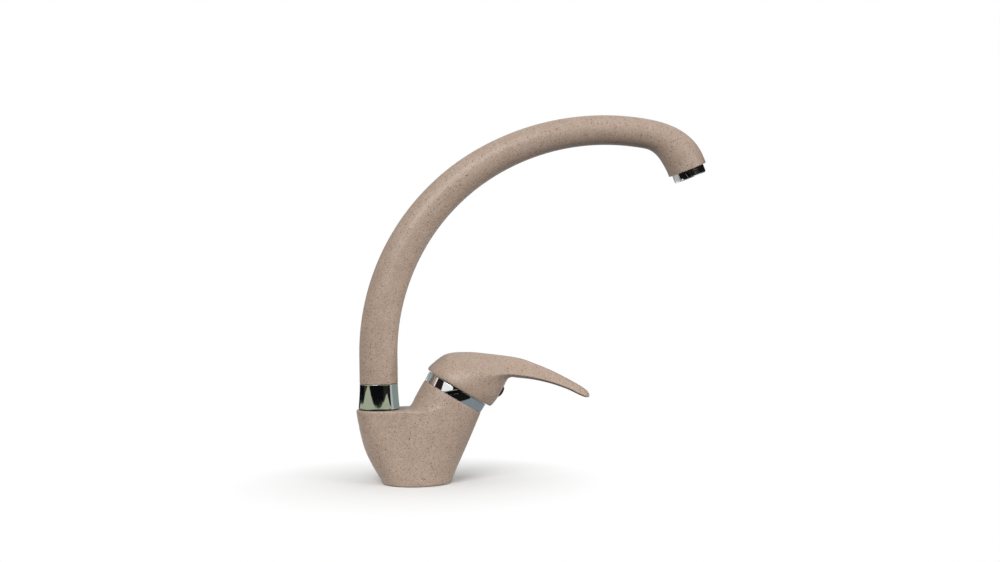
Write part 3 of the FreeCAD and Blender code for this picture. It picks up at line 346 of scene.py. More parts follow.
def new_tool(points, faces):
    """A closed form to cut out of a piece, or to join to it."""
    tool = laid("tool", points, faces)
    point_outwards(tool)
    return tool


def grid(rows, loop_rows=False, poles=False):
    """Points and faces of a skin over closed rows of equal length, its ends joined or closed by poles."""
    rows = np.asarray(rows, float)
    count, around = rows.shape[0], rows.shape[1]
    points = rows.reshape(-1, 3).tolist()
    faces = []
    for row in range(count if loop_rows else count - 1):
        low = row * around
        high = ((row + 1) % count) * around
        for column in range(around):
            after = (column + 1) % around
            faces.append((low + column, low + after, high + after, high + column))
    for row in (0, count - 1) if poles else ():
        pole = len(points)
        points.append(rows[row].mean(axis=0).tolist())
        for column in range(around):
            faces.append((row * around + column, row * around + (column + 1) % around, pole))
    return points, faces


def soften(outline, radius):
    """Rounds the corners of a closed outline by a small radius."""
    steps, most = 3, 0.4
    corners = [np.array(point, float) for point in outline]
    softened = []
    for index, corner in enumerate(corners):
        before, after = corners[index - 1], corners[(index + 1) % len(corners)]
        back, forth = before - corner, after - corner
        reach_back, reach_forth = np.linalg.norm(back), np.linalg.norm(forth)
        cut = min(radius, most * reach_back, most * reach_forth)
        start = corner + back / reach_back * cut
        end = corner + forth / reach_forth * cut
        for step in range(steps + 1):
            share = step / steps
            softened.append((1 - share) ** 2 * start + 2 * share * (1 - share) * corner + share ** 2 * end)
    return softened


def lathe(outline, around):
    """Rows of points round an axis, one for each radius and level of an outline."""
    profile = np.array(outline, float)
    angles = np.linspace(0, 2 * pi, around, endpoint=False)
    rows = np.zeros((len(profile), around, 3))
    rows[:, :, 0] = profile[:, :1] * np.cos(angles)
    rows[:, :, 1] = profile[:, :1] * np.sin(angles)
    rows[:, :, 2] = profile[:, 1:]
    return rows


def turned(name, outline, seat, body, material, edge):
    """A closed ring turned from radius and level pairs, with its edges broken."""
    points, faces = grid(seat(lathe(soften(outline, edge), 128)), loop_rows=True)
    return new_piece(name, points, faces, body, material)


def turned_tool(outline, seat):
    """A turned tool: solid where its outline starts and ends on the axis, otherwise a ring."""
    solid = outline[0][0] == 0
    rows = seat(lathe(outline[1:-1] if solid else outline, 96))
    return new_tool(*grid(rows, loop_rows=not solid, poles=solid))


def rod_tool(seat, start, end, radius, sides=64):
    """A rod between two places, round or with four sides."""
    start, end = np.array(start, float), np.array(end, float)
    along = (end - start) / np.linalg.norm(end - start)
    side = np.cross(along, [0.0, 1.0, 0.0])
    # A rod that runs across takes its side from the forward axis
    if np.linalg.norm(side) < 0.1:
        side = np.cross(along, [1.0, 0.0, 0.0])
    side /= np.linalg.norm(side)
    other = np.cross(along, side)
    turn = pi / sides if sides == 4 else 0.0
    angles = np.linspace(0, 2 * pi, sides, endpoint=False) + turn
    ring = radius * (np.cos(angles)[:, None] * side + np.sin(angles)[:, None] * other)
    return new_tool(*grid(seat(np.array([start + ring, end + ring])), poles=True))


def carve(piece, tools, operation="DIFFERENCE", crisp=CRISP):
    """Cuts tools out of a piece, or joins them to it."""
    for tool in tools:
        change = piece.modifiers.new("carve", "BOOLEAN")
        change.operation = operation
        change.object = tool
        change.solver = "EXACT"
        settle(piece, piece.data.name)
        bpy.data.objects.remove(tool)
    finish_shading(piece, crisp)


def bore(piece, tools, crisp=CRISP):
    """Cuts bores whose walls are bare brass."""
    for tool in tools:
        tool.data.materials.append(COATING)
        tool.data.materials.append(BRASS)
        tool.data.polygons.foreach_set("material_index", [1] * len(tool.data.polygons))
    if len(piece.data.materials) < 2:
        piece.data.materials.append(BRASS)
    carve(piece, tools, crisp=crisp)


def smooth_between(knots, values, wanted, edge_order=2):
    """Smooth values between knots, where each knot has one value or a row of them."""
    knots, values, wanted = (np.asarray(item, float) for item in (knots, values, wanted))
    slopes = np.gradient(values, knots, axis=0, edge_order=edge_order)
    place = np.clip(np.searchsorted(knots, wanted, side="right") - 1, 0, len(knots) - 2)
    span = knots[place + 1] - knots[place]
    share = (wanted - knots[place]) / span
    if values.ndim > 1:
        span, share = span[:, None], share[:, None]
    return (
        (2 * share ** 3 - 3 * share ** 2 + 1) * values[place]
        + (share ** 3 - 2 * share ** 2 + share) * slopes[place] * span
        + (3 * share ** 2 - 2 * share ** 3) * values[place + 1]
        + (share ** 3 - share ** 2) * slopes[place + 1] * span
    )


def smooth_rows(rows, count):
    """Smooth rows through given rows, spaced by the root of how far their two points move."""
    rows = np.asarray(rows, float)
    steps = np.sqrt(((rows[1:, :4] - rows[:-1, :4]) ** 2).sum(axis=1))
    knots = np.concatenate([[0], np.cumsum(np.sqrt(steps))])
    return smooth_between(knots, rows, np.linspace(0, knots[-1], count), edge_order=1)


# Finishes

def fresh_tree(owner):
    """The emptied node tree of a material or world."""
    owner.use_nodes = True
    owner.node_tree.nodes.clear()
    return owner.node_tree


def add(tree, kind, links=None, **settings):
    """Adds a node with its settings. An input that is named or numbered gets a value, or a link from a socket
    or from a node's first output."""
    node = tree.nodes.new(kind)
    for name, value in settings.items():
        setattr(node, name, value)
    for name, value in (links or {}).items():
        source = value.outputs[0] if isinstance(value, bpy.types.Node) else value
        if isinstance(source, bpy.types.NodeSocket):
            tree.links.new(source, node.inputs[name])
        else:
            node.inputs[name].default_value = source
    return node


def hex_colour(text):
    """An sRGB hex colour as the linear colour that Blender works in."""
    parts = [int(text[place:place + 2], 16) / 255 for place in (0, 2, 4)]
    linear = [part / 12.92 if part <= 0.04045 else ((part + 0.055) / 1.055) ** 2.4 for part in parts]
    return (*linear, 1.0)


def two_tone(tree, share, first, second):
    """One colour turning into another by a share, each given as hex or by a socket."""
    first, second = (hex_colour(tone) if isinstance(tone, str) else tone for tone in (first, second))
    mixed = add(tree, "ShaderNodeMix", {"Factor": share, "A": first, "B": second}, data_type="RGBA")
    return mixed.outputs["Result"]


def per_metre(millimetres):
    """Texture scale that repeats once in a length."""
    return 1000.0 / millimetres


def blank_material(name):
    """A material, its tree, and the coordinates of a place on the piece."""
    material = bpy.data.materials.new(name)
    tree = fresh_tree(material)
    return material, tree, add(tree, "ShaderNodeTexCoord").outputs["Object"]


def close_material(tree, looks):
    """Ends a material's tree in a shader with these looks."""
    shader = add(tree, "ShaderNodeBsdfPrincipled", looks)
    add(tree, "ShaderNodeOutputMaterial", {"Surface": shader})


def speckled_powder_coat():
    """Stone-look powder coat, baked: satin, warm beige, with dark and rusty specks and a pebbled skin."""
    material, tree, place = blank_material("speckled_powder_coat")
    clouds = add(tree, "ShaderNodeTexNoise",
                 {"Vector": place, "Scale": per_metre(11), "Detail": 3.0, "Roughness": 0.6})
    cloud_share = add(tree, "ShaderNodeMapRange", {"Value": clouds, "From Min": 0.38, "From Max": 0.64})
    colour = two_tone(tree, cloud_share, "9E8978", "A69181")
    # The pebbled skin is drawn at 1.1 mm, about twice its real size, so that it shows at all
    grains = add(tree, "ShaderNodeTexNoise", {"Vector": place, "Scale": per_metre(1.1), "Detail": 2.0})
    grain_share = add(tree, "ShaderNodeMapRange",
                      {"Value": grains, "From Min": 0.35, "From Max": 0.7, "To Max": 0.42})
    colour = two_tone(tree, grain_share, colour, "C9B6A8")
    # Spacing and radius of the specks in mm, the share of places that hold a speck, and their colour. A speck
    # fades out between 0.6 and 1.25 times its radius, and covers 0.78 of the colour under it
    for spacing, radius, filled, shade in ((1.35, 0.34, 0.6, "6B584C"), (1.0, 0.27, 0.45, "8C5F4A"),
                                           (2.2, 0.5, 0.42, "4A3D36")):
        cells = add(tree, "ShaderNodeTexVoronoi", {"Vector": place, "Scale": per_metre(spacing)}).outputs
        size = radius / spacing
        near = add(tree, "ShaderNodeMapRange", {"Value": cells["Distance"], "From Min": size * 1.25,
                                                "From Max": size * 0.6})
        chosen = add(tree, "ShaderNodeMath", {0: cells["Color"], 1: filled}, operation="LESS_THAN")
        speck = add(tree, "ShaderNodeMath", {0: near, 1: chosen}, operation="MULTIPLY")
        faded = add(tree, "ShaderNodeMath", {0: speck, 1: 0.78}, operation="MULTIPLY")
        colour = two_tone(tree, faded, colour, shade)
    gloss = add(tree, "ShaderNodeMapRange", {"Value": grains, "To Min": 0.36, "To Max": 0.54})
    skin = add(tree, "ShaderNodeBump", {"Height": grains, "Strength": 0.22, "Distance": 0.12 * MM})
    close_material(tree, {"Base Color": colour, "Roughness": gloss, "Normal": skin})
    return material


def bright_chrome():
    """Chrome plate over polished brass: mirror bright, with the faint waviness that polishing leaves."""
    material, tree, place = blank_material("bright_chrome_plate")
    haze = add(tree, "ShaderNodeTexNoise", {"Vector": place, "Scale": per_metre(5), "Detail": 4.0})
    gloss = add(tree, "ShaderNodeMapRange", {"Value": haze, "To Min": 0.02, "To Max": 0.07})
    waves = add(tree, "ShaderNodeTexNoise", {"Vector": place, "Scale": per_metre(7), "Detail": 1.0})
    bump = add(tree, "ShaderNodeBump", {"Height": waves, "Strength": 0.12, "Distance": 0.2 * MM})
    close_material(tree, {"Base Color": two_tone(tree, haze, "DFE1E2", "EEEFEF"), "Metallic": 1.0,
                          "Roughness": gloss, "Normal": bump})
    return material


def grained(name, metallic, tones, roughness, spacing, depth, stretch=(1.0, 1.0, 1.0)):
    """A finish of two near tones, with a fine grain of a spacing and depth in mm that may be drawn out."""
    gloss_play = 0.08
    material, tree, place = blank_material(name)
    run = add(tree, "ShaderNodeMapping", {"Vector": place, "Scale": stretch})
    grain = add(tree, "ShaderNodeTexNoise", {"Vector": run, "Scale": per_metre(spacing), "Detail": 3.0})
    gloss = add(tree, "ShaderNodeMapRange", {"Value": grain, "To Min": roughness - gloss_play,
                                             "To Max": roughness + gloss_play})
    bump = add(tree, "ShaderNodeBump", {"Height": grain, "Strength": 0.3, "Distance": depth * MM})
    close_material(tree, {"Base Color": two_tone(tree, grain, *tones), "Metallic": metallic,
                          "Roughness": gloss, "Normal": bump})
    return material


COATING = speckled_powder_coat()
CHROME = bright_chrome()

# The grain of these is drawn coarser than the real one, which is too fine to show

# Forged brass, left bare where it was bored: warm yellow, with fine tool marks
BRASS = grained("machined_brass", 1.0, ("B98F4B", "D0A964"), 0.3, 0.6, 0.03, (1.0, 1.0, 3.0))
# Nitrile rubber, moulded: near black and dull
RUBBER = grained("nitrile_rubber", 0.0, ("17181A", "232426"), 0.62, 0.9, 0.04)
# Alumina, sintered and lapped: cool white with a silky face
CERAMIC = grained("lapped_alumina", 0.0, ("E4E4DF", "F1F1EC"), 0.28, 0.8, 0.01)
# Acetal, injection moulded: milky white with a soft sheen
ACETAL = grained("moulded_acetal", 0.0, ("DAD9D3", "E6E5DF"), 0.42, 2.2, 0.03)
# Nylon, injection moulded: near black with a dull sheen
NYLON = grained("moulded_dark_nylon", 0.0, ("0B0A0B", "141214"), 0.55, 1.6, 0.03)
# Stainless steel, drawn and turned: neutral grey with fine turning marks
STEEL = grained("turned_stainless_steel", 1.0, ("9C9C9A", "B9B9B6"), 0.3, 0.5, 0.02, (4.0, 1.0, 1.0))

SLOT_FINISH = {"coating": COATING, "chrome": CHROME, "brass": BRASS, "rubber": RUBBER, "ceramic": CERAMIC,
               "white_plastic": ACETAL, "dark_plastic": NYLON, "steel": STEEL}


# Growing pieces with Geometry Nodes

def blank_tree(name, labels):
    """A Geometry Nodes tree with named number inputs and one material input."""
    tree = bpy.data.node_groups.new(name, "GeometryNodeTree")
    tree.interface.new_socket(name="Geometry", in_out="INPUT", socket_type="NodeSocketGeometry")
    for label in labels:
        tree.interface.new_socket(name=label, in_out="INPUT", socket_type="NodeSocketFloat")
    tree.interface.new_socket(name="Finish", in_out="INPUT", socket_type="NodeSocketMaterial")
    tree.interface.new_socket(name="Geometry", in_out="OUTPUT", socket_type="NodeSocketGeometry")
    return tree, add(tree, "NodeGroupInput").outputs


def close_tree(tree, given, geometry):
    """Makes the geometry real and gives it its finish."""
    real = add(tree, "GeometryNodeRealizeInstances", {"Geometry": geometry})
    finished = add(tree, "GeometryNodeSetMaterial", {"Geometry": real, "Material": given["Finish"]})
    add(tree, "NodeGroupOutput", {"Geometry": finished})
    return tree


def grown(name, tree, values, finish, body, seat=upright, start=None, crisp=CRISP):
    """Runs a tree with its sizes in mm, and leaves a plain mesh piece in its place."""
    piece = placed(name, start or bpy.data.meshes.new(name))
    change = piece.modifiers.new("grow", "NODES")
    change.node_group = tree
    wanted = {**values, "Finish": finish}
    for item in tree.interface.items_tree:
        if item.in_out == "INPUT" and item.name in wanted:
            change[item.identifier] = wanted[item.name]
    settle(piece, name)
    points = np.empty(len(piece.data.vertices) * 3)
    piece.data.vertices.foreach_get("co", points)
    piece.data.vertices.foreach_set("co", (seat(points.reshape(-1, 3)) * MM).ravel())
    point_outwards(piece)
    finish_shading(piece, crisp)
    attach(piece, body)
    return piece


def swept_tube_tree():
    """Sweeps a round outline along a path, narrowing over the large bend and widening over the tight one."""
    tree, given = blank_tree("swept_tube", ("Foot radius", "Crown radius", "Mouth radius", "Taper start",
                                            "Taper end", "Flare start", "Flare end", "Length", "Edge"))
    path = add(tree, "GeometryNodeMeshToCurve", {"Mesh": given["Geometry"]})
    along = add(tree, "GeometryNodeSplineParameter").outputs["Length"]
    radius = given["Foot radius"]
    for start, end, low, high in (("Taper start", "Taper end", "Foot radius", "Crown radius"),
                                  ("Flare start", "Flare end", "Crown radius", "Mouth radius")):
        turn = add(tree, "ShaderNodeMapRange", {"Value": along, "From Min": given[start],
                                                "From Max": given[end], "To Max": pi})
        wave = add(tree, "ShaderNodeMath", {0: turn}, operation="COSINE")
        share = add(tree, "ShaderNodeMath", {0: wave, 1: -0.5, 2: 0.5}, operation="MULTIPLY_ADD")
        change = add(tree, "ShaderNodeMath", {0: given[high], 1: given[low]}, operation="SUBTRACT")
        radius = add(tree, "ShaderNodeMath", {0: share, 1: change, 2: radius}, operation="MULTIPLY_ADD")
    # Both ends are rounded over the length of the edge
    to_end = add(tree, "ShaderNodeMath", {0: given["Length"], 1: along}, operation="SUBTRACT")
    nearest = add(tree, "ShaderNodeMath", {0: to_end, 1: along}, operation="MINIMUM")
    short = add(tree, "ShaderNodeMath", {0: given["Edge"], 1: nearest}, operation="SUBTRACT", use_clamp=True)
    squared = add(tree, "ShaderNodeMath", {0: short, 1: short}, operation="MULTIPLY")
    radius = add(tree, "ShaderNodeMath", {0: radius, 1: squared}, operation="SUBTRACT")
    outline = add(tree, "GeometryNodeCurvePrimitiveCircle", {"Resolution": 96, "Radius": 1.0})
    tube = add(tree, "GeometryNodeCurveToMesh", {"Curve": path, "Profile Curve": outline, "Scale": radius})
    return close_tree(tree, given, tube)


def lattice_tree():
    """Straight bars across a round opening, each as long as the circle allows there, and again crosswise."""
    tree, given = blank_tree("lattice", ("Radius", "Pitch", "Bar width", "Bar depth", "Bars", "Layer step"))
    gaps = add(tree, "ShaderNodeMath", {0: given["Bars"], 1: 1.0}, operation="SUBTRACT")
    across = add(tree, "ShaderNodeMath", {0: gaps, 1: given["Pitch"]}, operation="MULTIPLY")
    first = add(tree, "ShaderNodeMath", {0: across, 1: -0.5}, operation="MULTIPLY")
    start = add(tree, "ShaderNodeCombineXYZ", {"X": first})
    step = add(tree, "ShaderNodeCombineXYZ", {"X": given["Pitch"]})
    line = add(tree, "GeometryNodeMeshLine",
               {"Count": given["Bars"], "Start Location": start, "Offset": step})
    place = add(tree, "ShaderNodeSeparateXYZ", {0: add(tree, "GeometryNodeInputPosition")}).outputs
    squared = add(tree, "ShaderNodeMath", {0: place["X"], 1: place["X"]}, operation="MULTIPLY")
    whole = add(tree, "ShaderNodeMath", {0: given["Radius"], 1: given["Radius"]}, operation="MULTIPLY")
    left = add(tree, "ShaderNodeMath", {0: whole, 1: squared}, operation="SUBTRACT")
    half = add(tree, "ShaderNodeMath", {0: left}, operation="SQRT")
    length = add(tree, "ShaderNodeMath", {0: half, 1: 2.0}, operation="MULTIPLY")
    scale = add(tree, "ShaderNodeCombineXYZ", {"X": given["Bar width"], "Y": length, "Z": given["Bar depth"]})
    bar = add(tree, "GeometryNodeMeshCube", {"Size": (1.0, 1.0, 1.0)})
    bars = add(tree, "GeometryNodeInstanceOnPoints", {"Points": line, "Instance": bar, "Scale": scale})
    lift = add(tree, "ShaderNodeCombineXYZ", {"Z": given["Layer step"]})
    crosswise = add(tree, "GeometryNodeTransform", {"Geometry": bars, "Translation": lift,
                                                    "Rotation": (0.0, 0.0, pi / 2)})
    both = add(tree, "GeometryNodeJoinGeometry")
    for layer in (bars, crosswise):
        tree.links.new(layer.outputs[0], both.inputs[0])
    return close_tree(tree, given, both)


# Body casting

def tower_table(levels, turns):
    """Middle of the tower and its wall's distance from there, at each level and for each direction. The wall
    runs in a curve from the foot's circle through the swell to the circle at the tower's top."""
    angle = np.linspace(0, 2 * pi, turns, endpoint=False)
    foot = np.stack([BASE_RADIUS * np.cos(angle), BASE_RADIUS * np.sin(angle), 0 * angle], axis=-1)
    full = in_tower(np.stack([SWELL_SHIFT + SWELL_RADIUS * np.cos(angle), SWELL_RADIUS * np.sin(angle),
                              0 * angle - SWELL_DEPTH], axis=-1))
    top = in_tower(np.stack([TOWER_RADIUS * np.cos(angle), TOWER_RADIUS * np.sin(angle), 0 * angle], axis=-1))
    lower = np.linalg.norm(full.mean(axis=0) - foot.mean(axis=0))
    upper = np.linalg.norm(top.mean(axis=0) - full.mean(axis=0))
    turn = lower / (lower + upper)
    # From a little under the foot to well past the top, so that every level is crossed
    share = np.linspace(-0.05, 1.6, 420)[:, None, None]
    wall = (foot * (share - turn) * (share - 1) / turn + full * share * (share - 1) / (turn * (turn - 1))
            + top * share * (share - turn) / (1 - turn))
    middles = np.zeros(len(levels))
    reaches = np.zeros((len(levels), turns))
    for index, level in enumerate(levels):
        ring = np.array([[np.interp(level, wall[:, column, 2], wall[:, column, axis]) for axis in (0, 1)]
                         for column in range(turns)])
        middles[index] = (ring[:, 0].max() + ring[:, 0].min()) / 2
        out = ring - [middles[index], 0.0]
        heading = np.unwrap(np.arctan2(out[:, 1], out[:, 0]))
        reach = np.hypot(out[:, 0], out[:, 1])
        order = np.concatenate([heading - 2 * pi, heading, heading + 2 * pi])
        reaches[index] = np.interp(angle, order, np.tile(reach, 3))
    return middles, reaches


LEVELS = np.linspace(-2, 80, 206)
TURNS = 256
TOWER_MIDDLES, TOWER_REACHES = tower_table(LEVELS, TURNS)


def least(first, second, softness):
    """The smaller of two depths, with the corner between them rounded."""
    share = np.clip(softness - np.abs(first - second), 0, None) / softness
    return np.minimum(first, second) - share ** 2 * softness / 4


def tower_depth(points):
    """How deep points lie under the tower's wall, read between the rows and columns of its table."""
    x, y, z = points[..., 0], points[..., 1], points[..., 2]
    # Clipped just short of the last row, so that there is always a row above
    row = np.clip((z - LEVELS[0]) / (LEVELS[1] - LEVELS[0]), 0, len(LEVELS) - 1.001)
    low = row.astype(int)
    part = row - low
    middle = TOWER_MIDDLES[low] * (1 - part) + TOWER_MIDDLES[low + 1] * part
    column = (np.arctan2(y, x - middle) / (2 * pi) * TURNS) % TURNS
    left = column.astype(int) % TURNS
    right = (left + 1) % TURNS
    slide = column - column.astype(int)
    lower = TOWER_REACHES[low, left] * (1 - slide) + TOWER_REACHES[low, right] * slide
    upper = TOWER_REACHES[low + 1, left] * (1 - slide) + TOWER_REACHES[low + 1, right] * slide
    # The wall leans, so it is nearer than it is along a level line
    nearness = cos(TOWER_TILT * 0.8)
    return (lower * (1 - part) + upper * part - np.hypot(x - middle, y)) * nearness


def boss_depth(points):
    """How deep points lie under the rear boss's wall, whose level outline is two arcs and straight flanks."""
    x, y, z = points[..., 0], np.abs(points[..., 1]), points[..., 2]
    levels, reaches = zip(*BOSS_REACHES)
    shares = np.clip(z / SEAT_HEIGHT, -0.02, 1.02)
    reach = smooth_between(levels, reaches, np.clip(z, 0, SEAT_HEIGHT))
    small = BASE_RADIUS - BOSS_FOOT_INSET + (BOSS_RADIUS - BASE_RADIUS + BOSS_FOOT_INSET) * shares
    top_middle = TOWER_REACH - (TOWER_HEIGHT - SEAT_HEIGHT) * tan(TOWER_TILT) - WEB_TOP_BACK
    front = WEB_INSET + (top_middle - WEB_INSET) * shares
    large = (BASE_RADIUS - WEB_INSET) + (TOWER_RADIUS - WEB_TOP_INSET - BASE_RADIUS) * shares
    rear = small - reach
    lean = (large - small) / (front - rear)
    square = np.sqrt(1 - lean ** 2)
    along = (x - rear) * square + y * lean
    flank = small + (x - rear) * lean - y * square
    depth = np.where(along < 0, small - np.hypot(x - rear, y), flank)
    return np.where(along > (front - rear) * square, large - np.hypot(x - front, y), depth)


def body_depth(points):
    """How deep points lie under the casting's skin."""
    x, z = points[..., 0], points[..., 2]
    above = (x - TOWER_REACH) * sin(TOWER_TILT) + (z - TOWER_HEIGHT) * cos(TOWER_TILT)
    tower = least(tower_depth(points), -above, TOWER_EDGE)
    boss = least(boss_depth(points), SEAT_HEIGHT - z, EDGE)
    joined = -least(-tower, -boss, FILLET)
    return least(joined, z, EDGE)


def skin_of(depth, low, high, step):
    """A closed skin where a depth rule is zero, laid over a grid of cells and then drawn onto the rule."""
    axes = [np.arange(start, end + step, step) for start, end in zip(low, high)]
    places = np.stack(np.meshgrid(*axes, indexing="ij"), axis=-1)
    value = depth(places)
    inside = value > 0
    total = np.zeros(value.shape + (3,))
    count = np.zeros(value.shape)
    crossings = []
    for axis in range(3):
        near = [slice(None)] * 3
        far = [slice(None)] * 3
        near[axis], far[axis] = slice(0, -1), slice(1, None)
        crossed = np.argwhere(inside[tuple(near)] != inside[tuple(far)])
        shift = np.zeros(3, int)
        shift[axis] = 1
        start = value[tuple(crossed.T)]
        end = value[tuple((crossed + shift).T)]
        spots = places[tuple(crossed.T)] + (start / (start - end))[:, None] * shift * step
        # The four cells round each crossed edge make a face, and each cell's point is the middle of its spots
        others = [other for other in range(3) if other != axis]
        corners = []
        for first, second in ((0, 0), (1, 0), (1, 1), (0, 1)):
            cell = crossed.copy()
            cell[:, others[0]] -= first
            cell[:, others[1]] -= second
            np.add.at(total, tuple(cell.T), spots)
            np.add.at(count, tuple(cell.T), 1)
            corners.append(np.ravel_multi_index(tuple(cell.T), value.shape))
        crossings.append(np.stack(corners, axis=-1))
    used = np.flatnonzero(count.ravel() > 0)
    points = total.reshape(-1, 3)[used] / count.ravel()[used, None]
    number = np.full(count.size, -1)
    number[used] = np.arange(len(used))
    faces = number[np.concatenate(crossings)]
    nudge, least_slope, passes = 0.05, 0.2, 4
    for _ in range(passes):
        slope = np.stack([(depth(points + offset) - depth(points - offset)) / (2 * nudge)
                          for offset in np.eye(3) * nudge], axis=-1)
        steepness = np.maximum((slope ** 2).sum(axis=-1), least_slope)
        points = points - slope * (depth(points) / steepness)[:, None]
    return points, faces.tolist()


def body_casting():
    """The coated casting: leaning tower, rear boss with its flat top, and the bores in both."""
    cell = CELL
    points, faces = skin_of(body_depth, CASTING_LOW, CASTING_HIGH, cell)
    casting = new_piece("body_casting", points, faces, "tap_body", COATING)
    chamber = turned_tool([
        (0, CHAMBER_FLOOR), (CHAMBER_RADIUS, CHAMBER_FLOOR), (CHAMBER_RADIUS, -THREAD_DEPTH),
        (THREAD_RADIUS, -THREAD_DEPTH), (THREAD_RADIUS, PAST), (0, PAST)], in_tower)
    socket_top = SEAT_HEIGHT + 2 * PAST
    socket = turned_tool([(0, SOCKET_FLOOR), (SOCKET_RADIUS, SOCKET_FLOOR), (SOCKET_RADIUS, socket_top),
                          (0, socket_top)], on_swivel)
    well = rod_tool(on_swivel, (WELL_FORWARD, 0, SOCKET_FLOOR - WELL_DEPTH),
                    (WELL_FORWARD, 0, SOCKET_FLOOR + OVERLAP), WELL_RADIUS)
    screw_hole = rod_tool(on_swivel, (-BOSS_RADIUS - 2 * PAST, 0, SCREW_HEIGHT),
                          (-SCREW_END, 0, SCREW_HEIGHT), SCREW_RADIUS, 32)
    inlets = [rod_tool(upright, (INLET_REACH, across, -PAST), (INLET_REACH, across, INLET_DEPTH),
                       INLET_RADIUS) for across in (-INLET_SPREAD, INLET_SPREAD)]
    stud = rod_tool(upright, (-STUD_BACK, 0, -PAST), (-STUD_BACK, 0, STUD_DEPTH), STUD_RADIUS)
    gasket_groove = turned_tool([(GROOVE_INNER, -PAST), (GROOVE_OUTER, -PAST), (GROOVE_OUTER, GROOVE_DEPTH),
                                 (GROOVE_INNER, GROOVE_DEPTH)], upright)
    bore(casting, [chamber, socket, well, screw_hole] + inlets + [stud, gasket_groove])
    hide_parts("body")


# Handle

def handle_rows():
    """Top or rear point, under or front point, half width, lean and ridge of each row."""
    rows = []
    for rear_in, rear_up, front_out, front_up, width_in, lean, ridge in CAP_ROWS:
        rows.append((CAP_SHIFT - CAP_RADIUS + rear_in, CAP_RIM + rear_up, CAP_SHIFT + CAP_RADIUS + front_out,
                     CAP_RIM + front_up, CAP_RADIUS - width_in, lean, ridge))
    for share, thin, slim in [(share, 1.0, 1.0) for share in LEVER_SHARES] + list(LEVER_TIP):
        heading = LEVER_START - share * LEVER_LENGTH / LEVER_BEND
        x = LEVER_ROOT[0] + LEVER_BEND * (sin(LEVER_START) - sin(heading))
        z = LEVER_ROOT[1] + LEVER_BEND * (cos(heading) - cos(LEVER_START))
        taper = (1 - share) ** LEVER_TAPER
        half = (LEVER_HALVES[1] + (LEVER_HALVES[0] - LEVER_HALVES[1]) * taper) * thin
        width = (LEVER_WIDTHS[1] + (LEVER_WIDTHS[0] - LEVER_WIDTHS[1]) * taper) * slim
        rows.append((x - sin(heading) * half, z + cos(heading) * half, x + sin(heading) * half,
                     z - cos(heading) * half, width, LEVER_LEAN, LEVER_RIDGE * (1 - RIDGE_FADE * share)))
    return rows


def handle_skin():
    """Rows of points round the cap and lever, with a soft ridge along each side."""
    rows = smooth_rows(handle_rows(), HANDLE_ROWS)
    angle = np.linspace(0, 2 * pi, 128, endpoint=False)
    tent = 1 + RIDGE_SOFTNESS - np.sqrt(np.cos(angle) ** 2 + RIDGE_SOFTNESS ** 2)
    tent = tent / tent.max() * np.sign(np.sin(angle))
    skin = np.zeros((len(rows), len(angle), 3))
    for index, (rear_x, rear_z, front_x, front_z, width, lean, ridge) in enumerate(rows):
        along = np.cos(angle) - lean * np.sin(angle) ** 2
        side = (1 - ridge) * np.sin(angle) + ridge * tent
        skin[index, :, 0] = (rear_x + front_x) / 2 + (rear_x - front_x) / 2 * along
        skin[index, :, 1] = width * side
        skin[index, :, 2] = (rear_z + front_z) / 2 + (rear_z - front_z) / 2 * along
    return skin


def plug_rod(start, end, radius, sides=32):
    """A rod along the index plug's axis, between two distances from the tower's axis."""
    return rod_tool(in_tower, (start, 0, PLUG_LEVEL), (end, 0, PLUG_LEVEL), radius, sides)


def handle_cap():
    """Cap and lever in one form, hollow below, with the stem's post and the index plug's hole."""
    points, faces = grid(in_tower(handle_skin()), poles=True)
    cap = new_piece("handle_cap", points, faces, "lever_unit", COATING)
    inner = CAP_RADIUS - CAP_WALL
    wall = [(inner - inward, CAP_RIM + up) for inward, up in CAVITY_WALL]
    bore(cap, [turned_tool([(0, CAP_RIM - 1)] + wall + [(0, CAP_RIM + CAVITY_ROOF)], in_cap)])
    carve(cap, [rod_tool(in_tower, (0, 0, CAP_RIM + POST_FOOT), (0, 0, CAP_RIM + POST_TOP), POST_RADIUS),
                plug_rod(0, PLUG_SEAT - PAST, PLUG_BOSS, 64)], "UNION")
    bore(cap, [rod_tool(in_tower, (0, 0, CAP_RIM), (0, 0, STEM_TOP), STEM_HALF * 2 ** 0.5, 4),
               plug_rod(SCREW_FROM, PLUG_SEAT - PLUG_LENGTH - 1, SCREW_RADIUS),
               plug_rod(PLUG_SEAT - PLUG_LENGTH - OVERLAP, PLUG_SEAT + 1, PLUG_HOLE),
               plug_rod(PLUG_SEAT, PLUG_SEAT + 10 * PAST, PLUG_RECESS, 48)])
    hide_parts("handle")


def index_plug():
    """The small dark button over the grub screw, domed and seated in the handle's front."""
    # Chamfered shank, the head's side, and its dome
    outline = [(0.01, -PLUG_LENGTH), (PLUG_SHANK - 0.4, -PLUG_LENGTH), (PLUG_SHANK, 0.5 - PLUG_LENGTH),
               (PLUG_SHANK, 0.0), (PLUG_RADIUS - 0.1, 0.0), (PLUG_RADIUS, 0.3)]
    outline += [(PLUG_RADIUS * cos(turn) ** 0.7, PLUG_SIDE + PLUG_DOME * sin(turn))
                for turn in np.linspace(0, pi / 2 - 0.02, 16)]
    points, faces = grid(in_plug(lathe(outline, 64)), poles=True)
    button = new_piece("index_button", points, faces, "lever_unit", NYLON)
    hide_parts("index_plug")


# Rings round the tower's top and the spout's foot

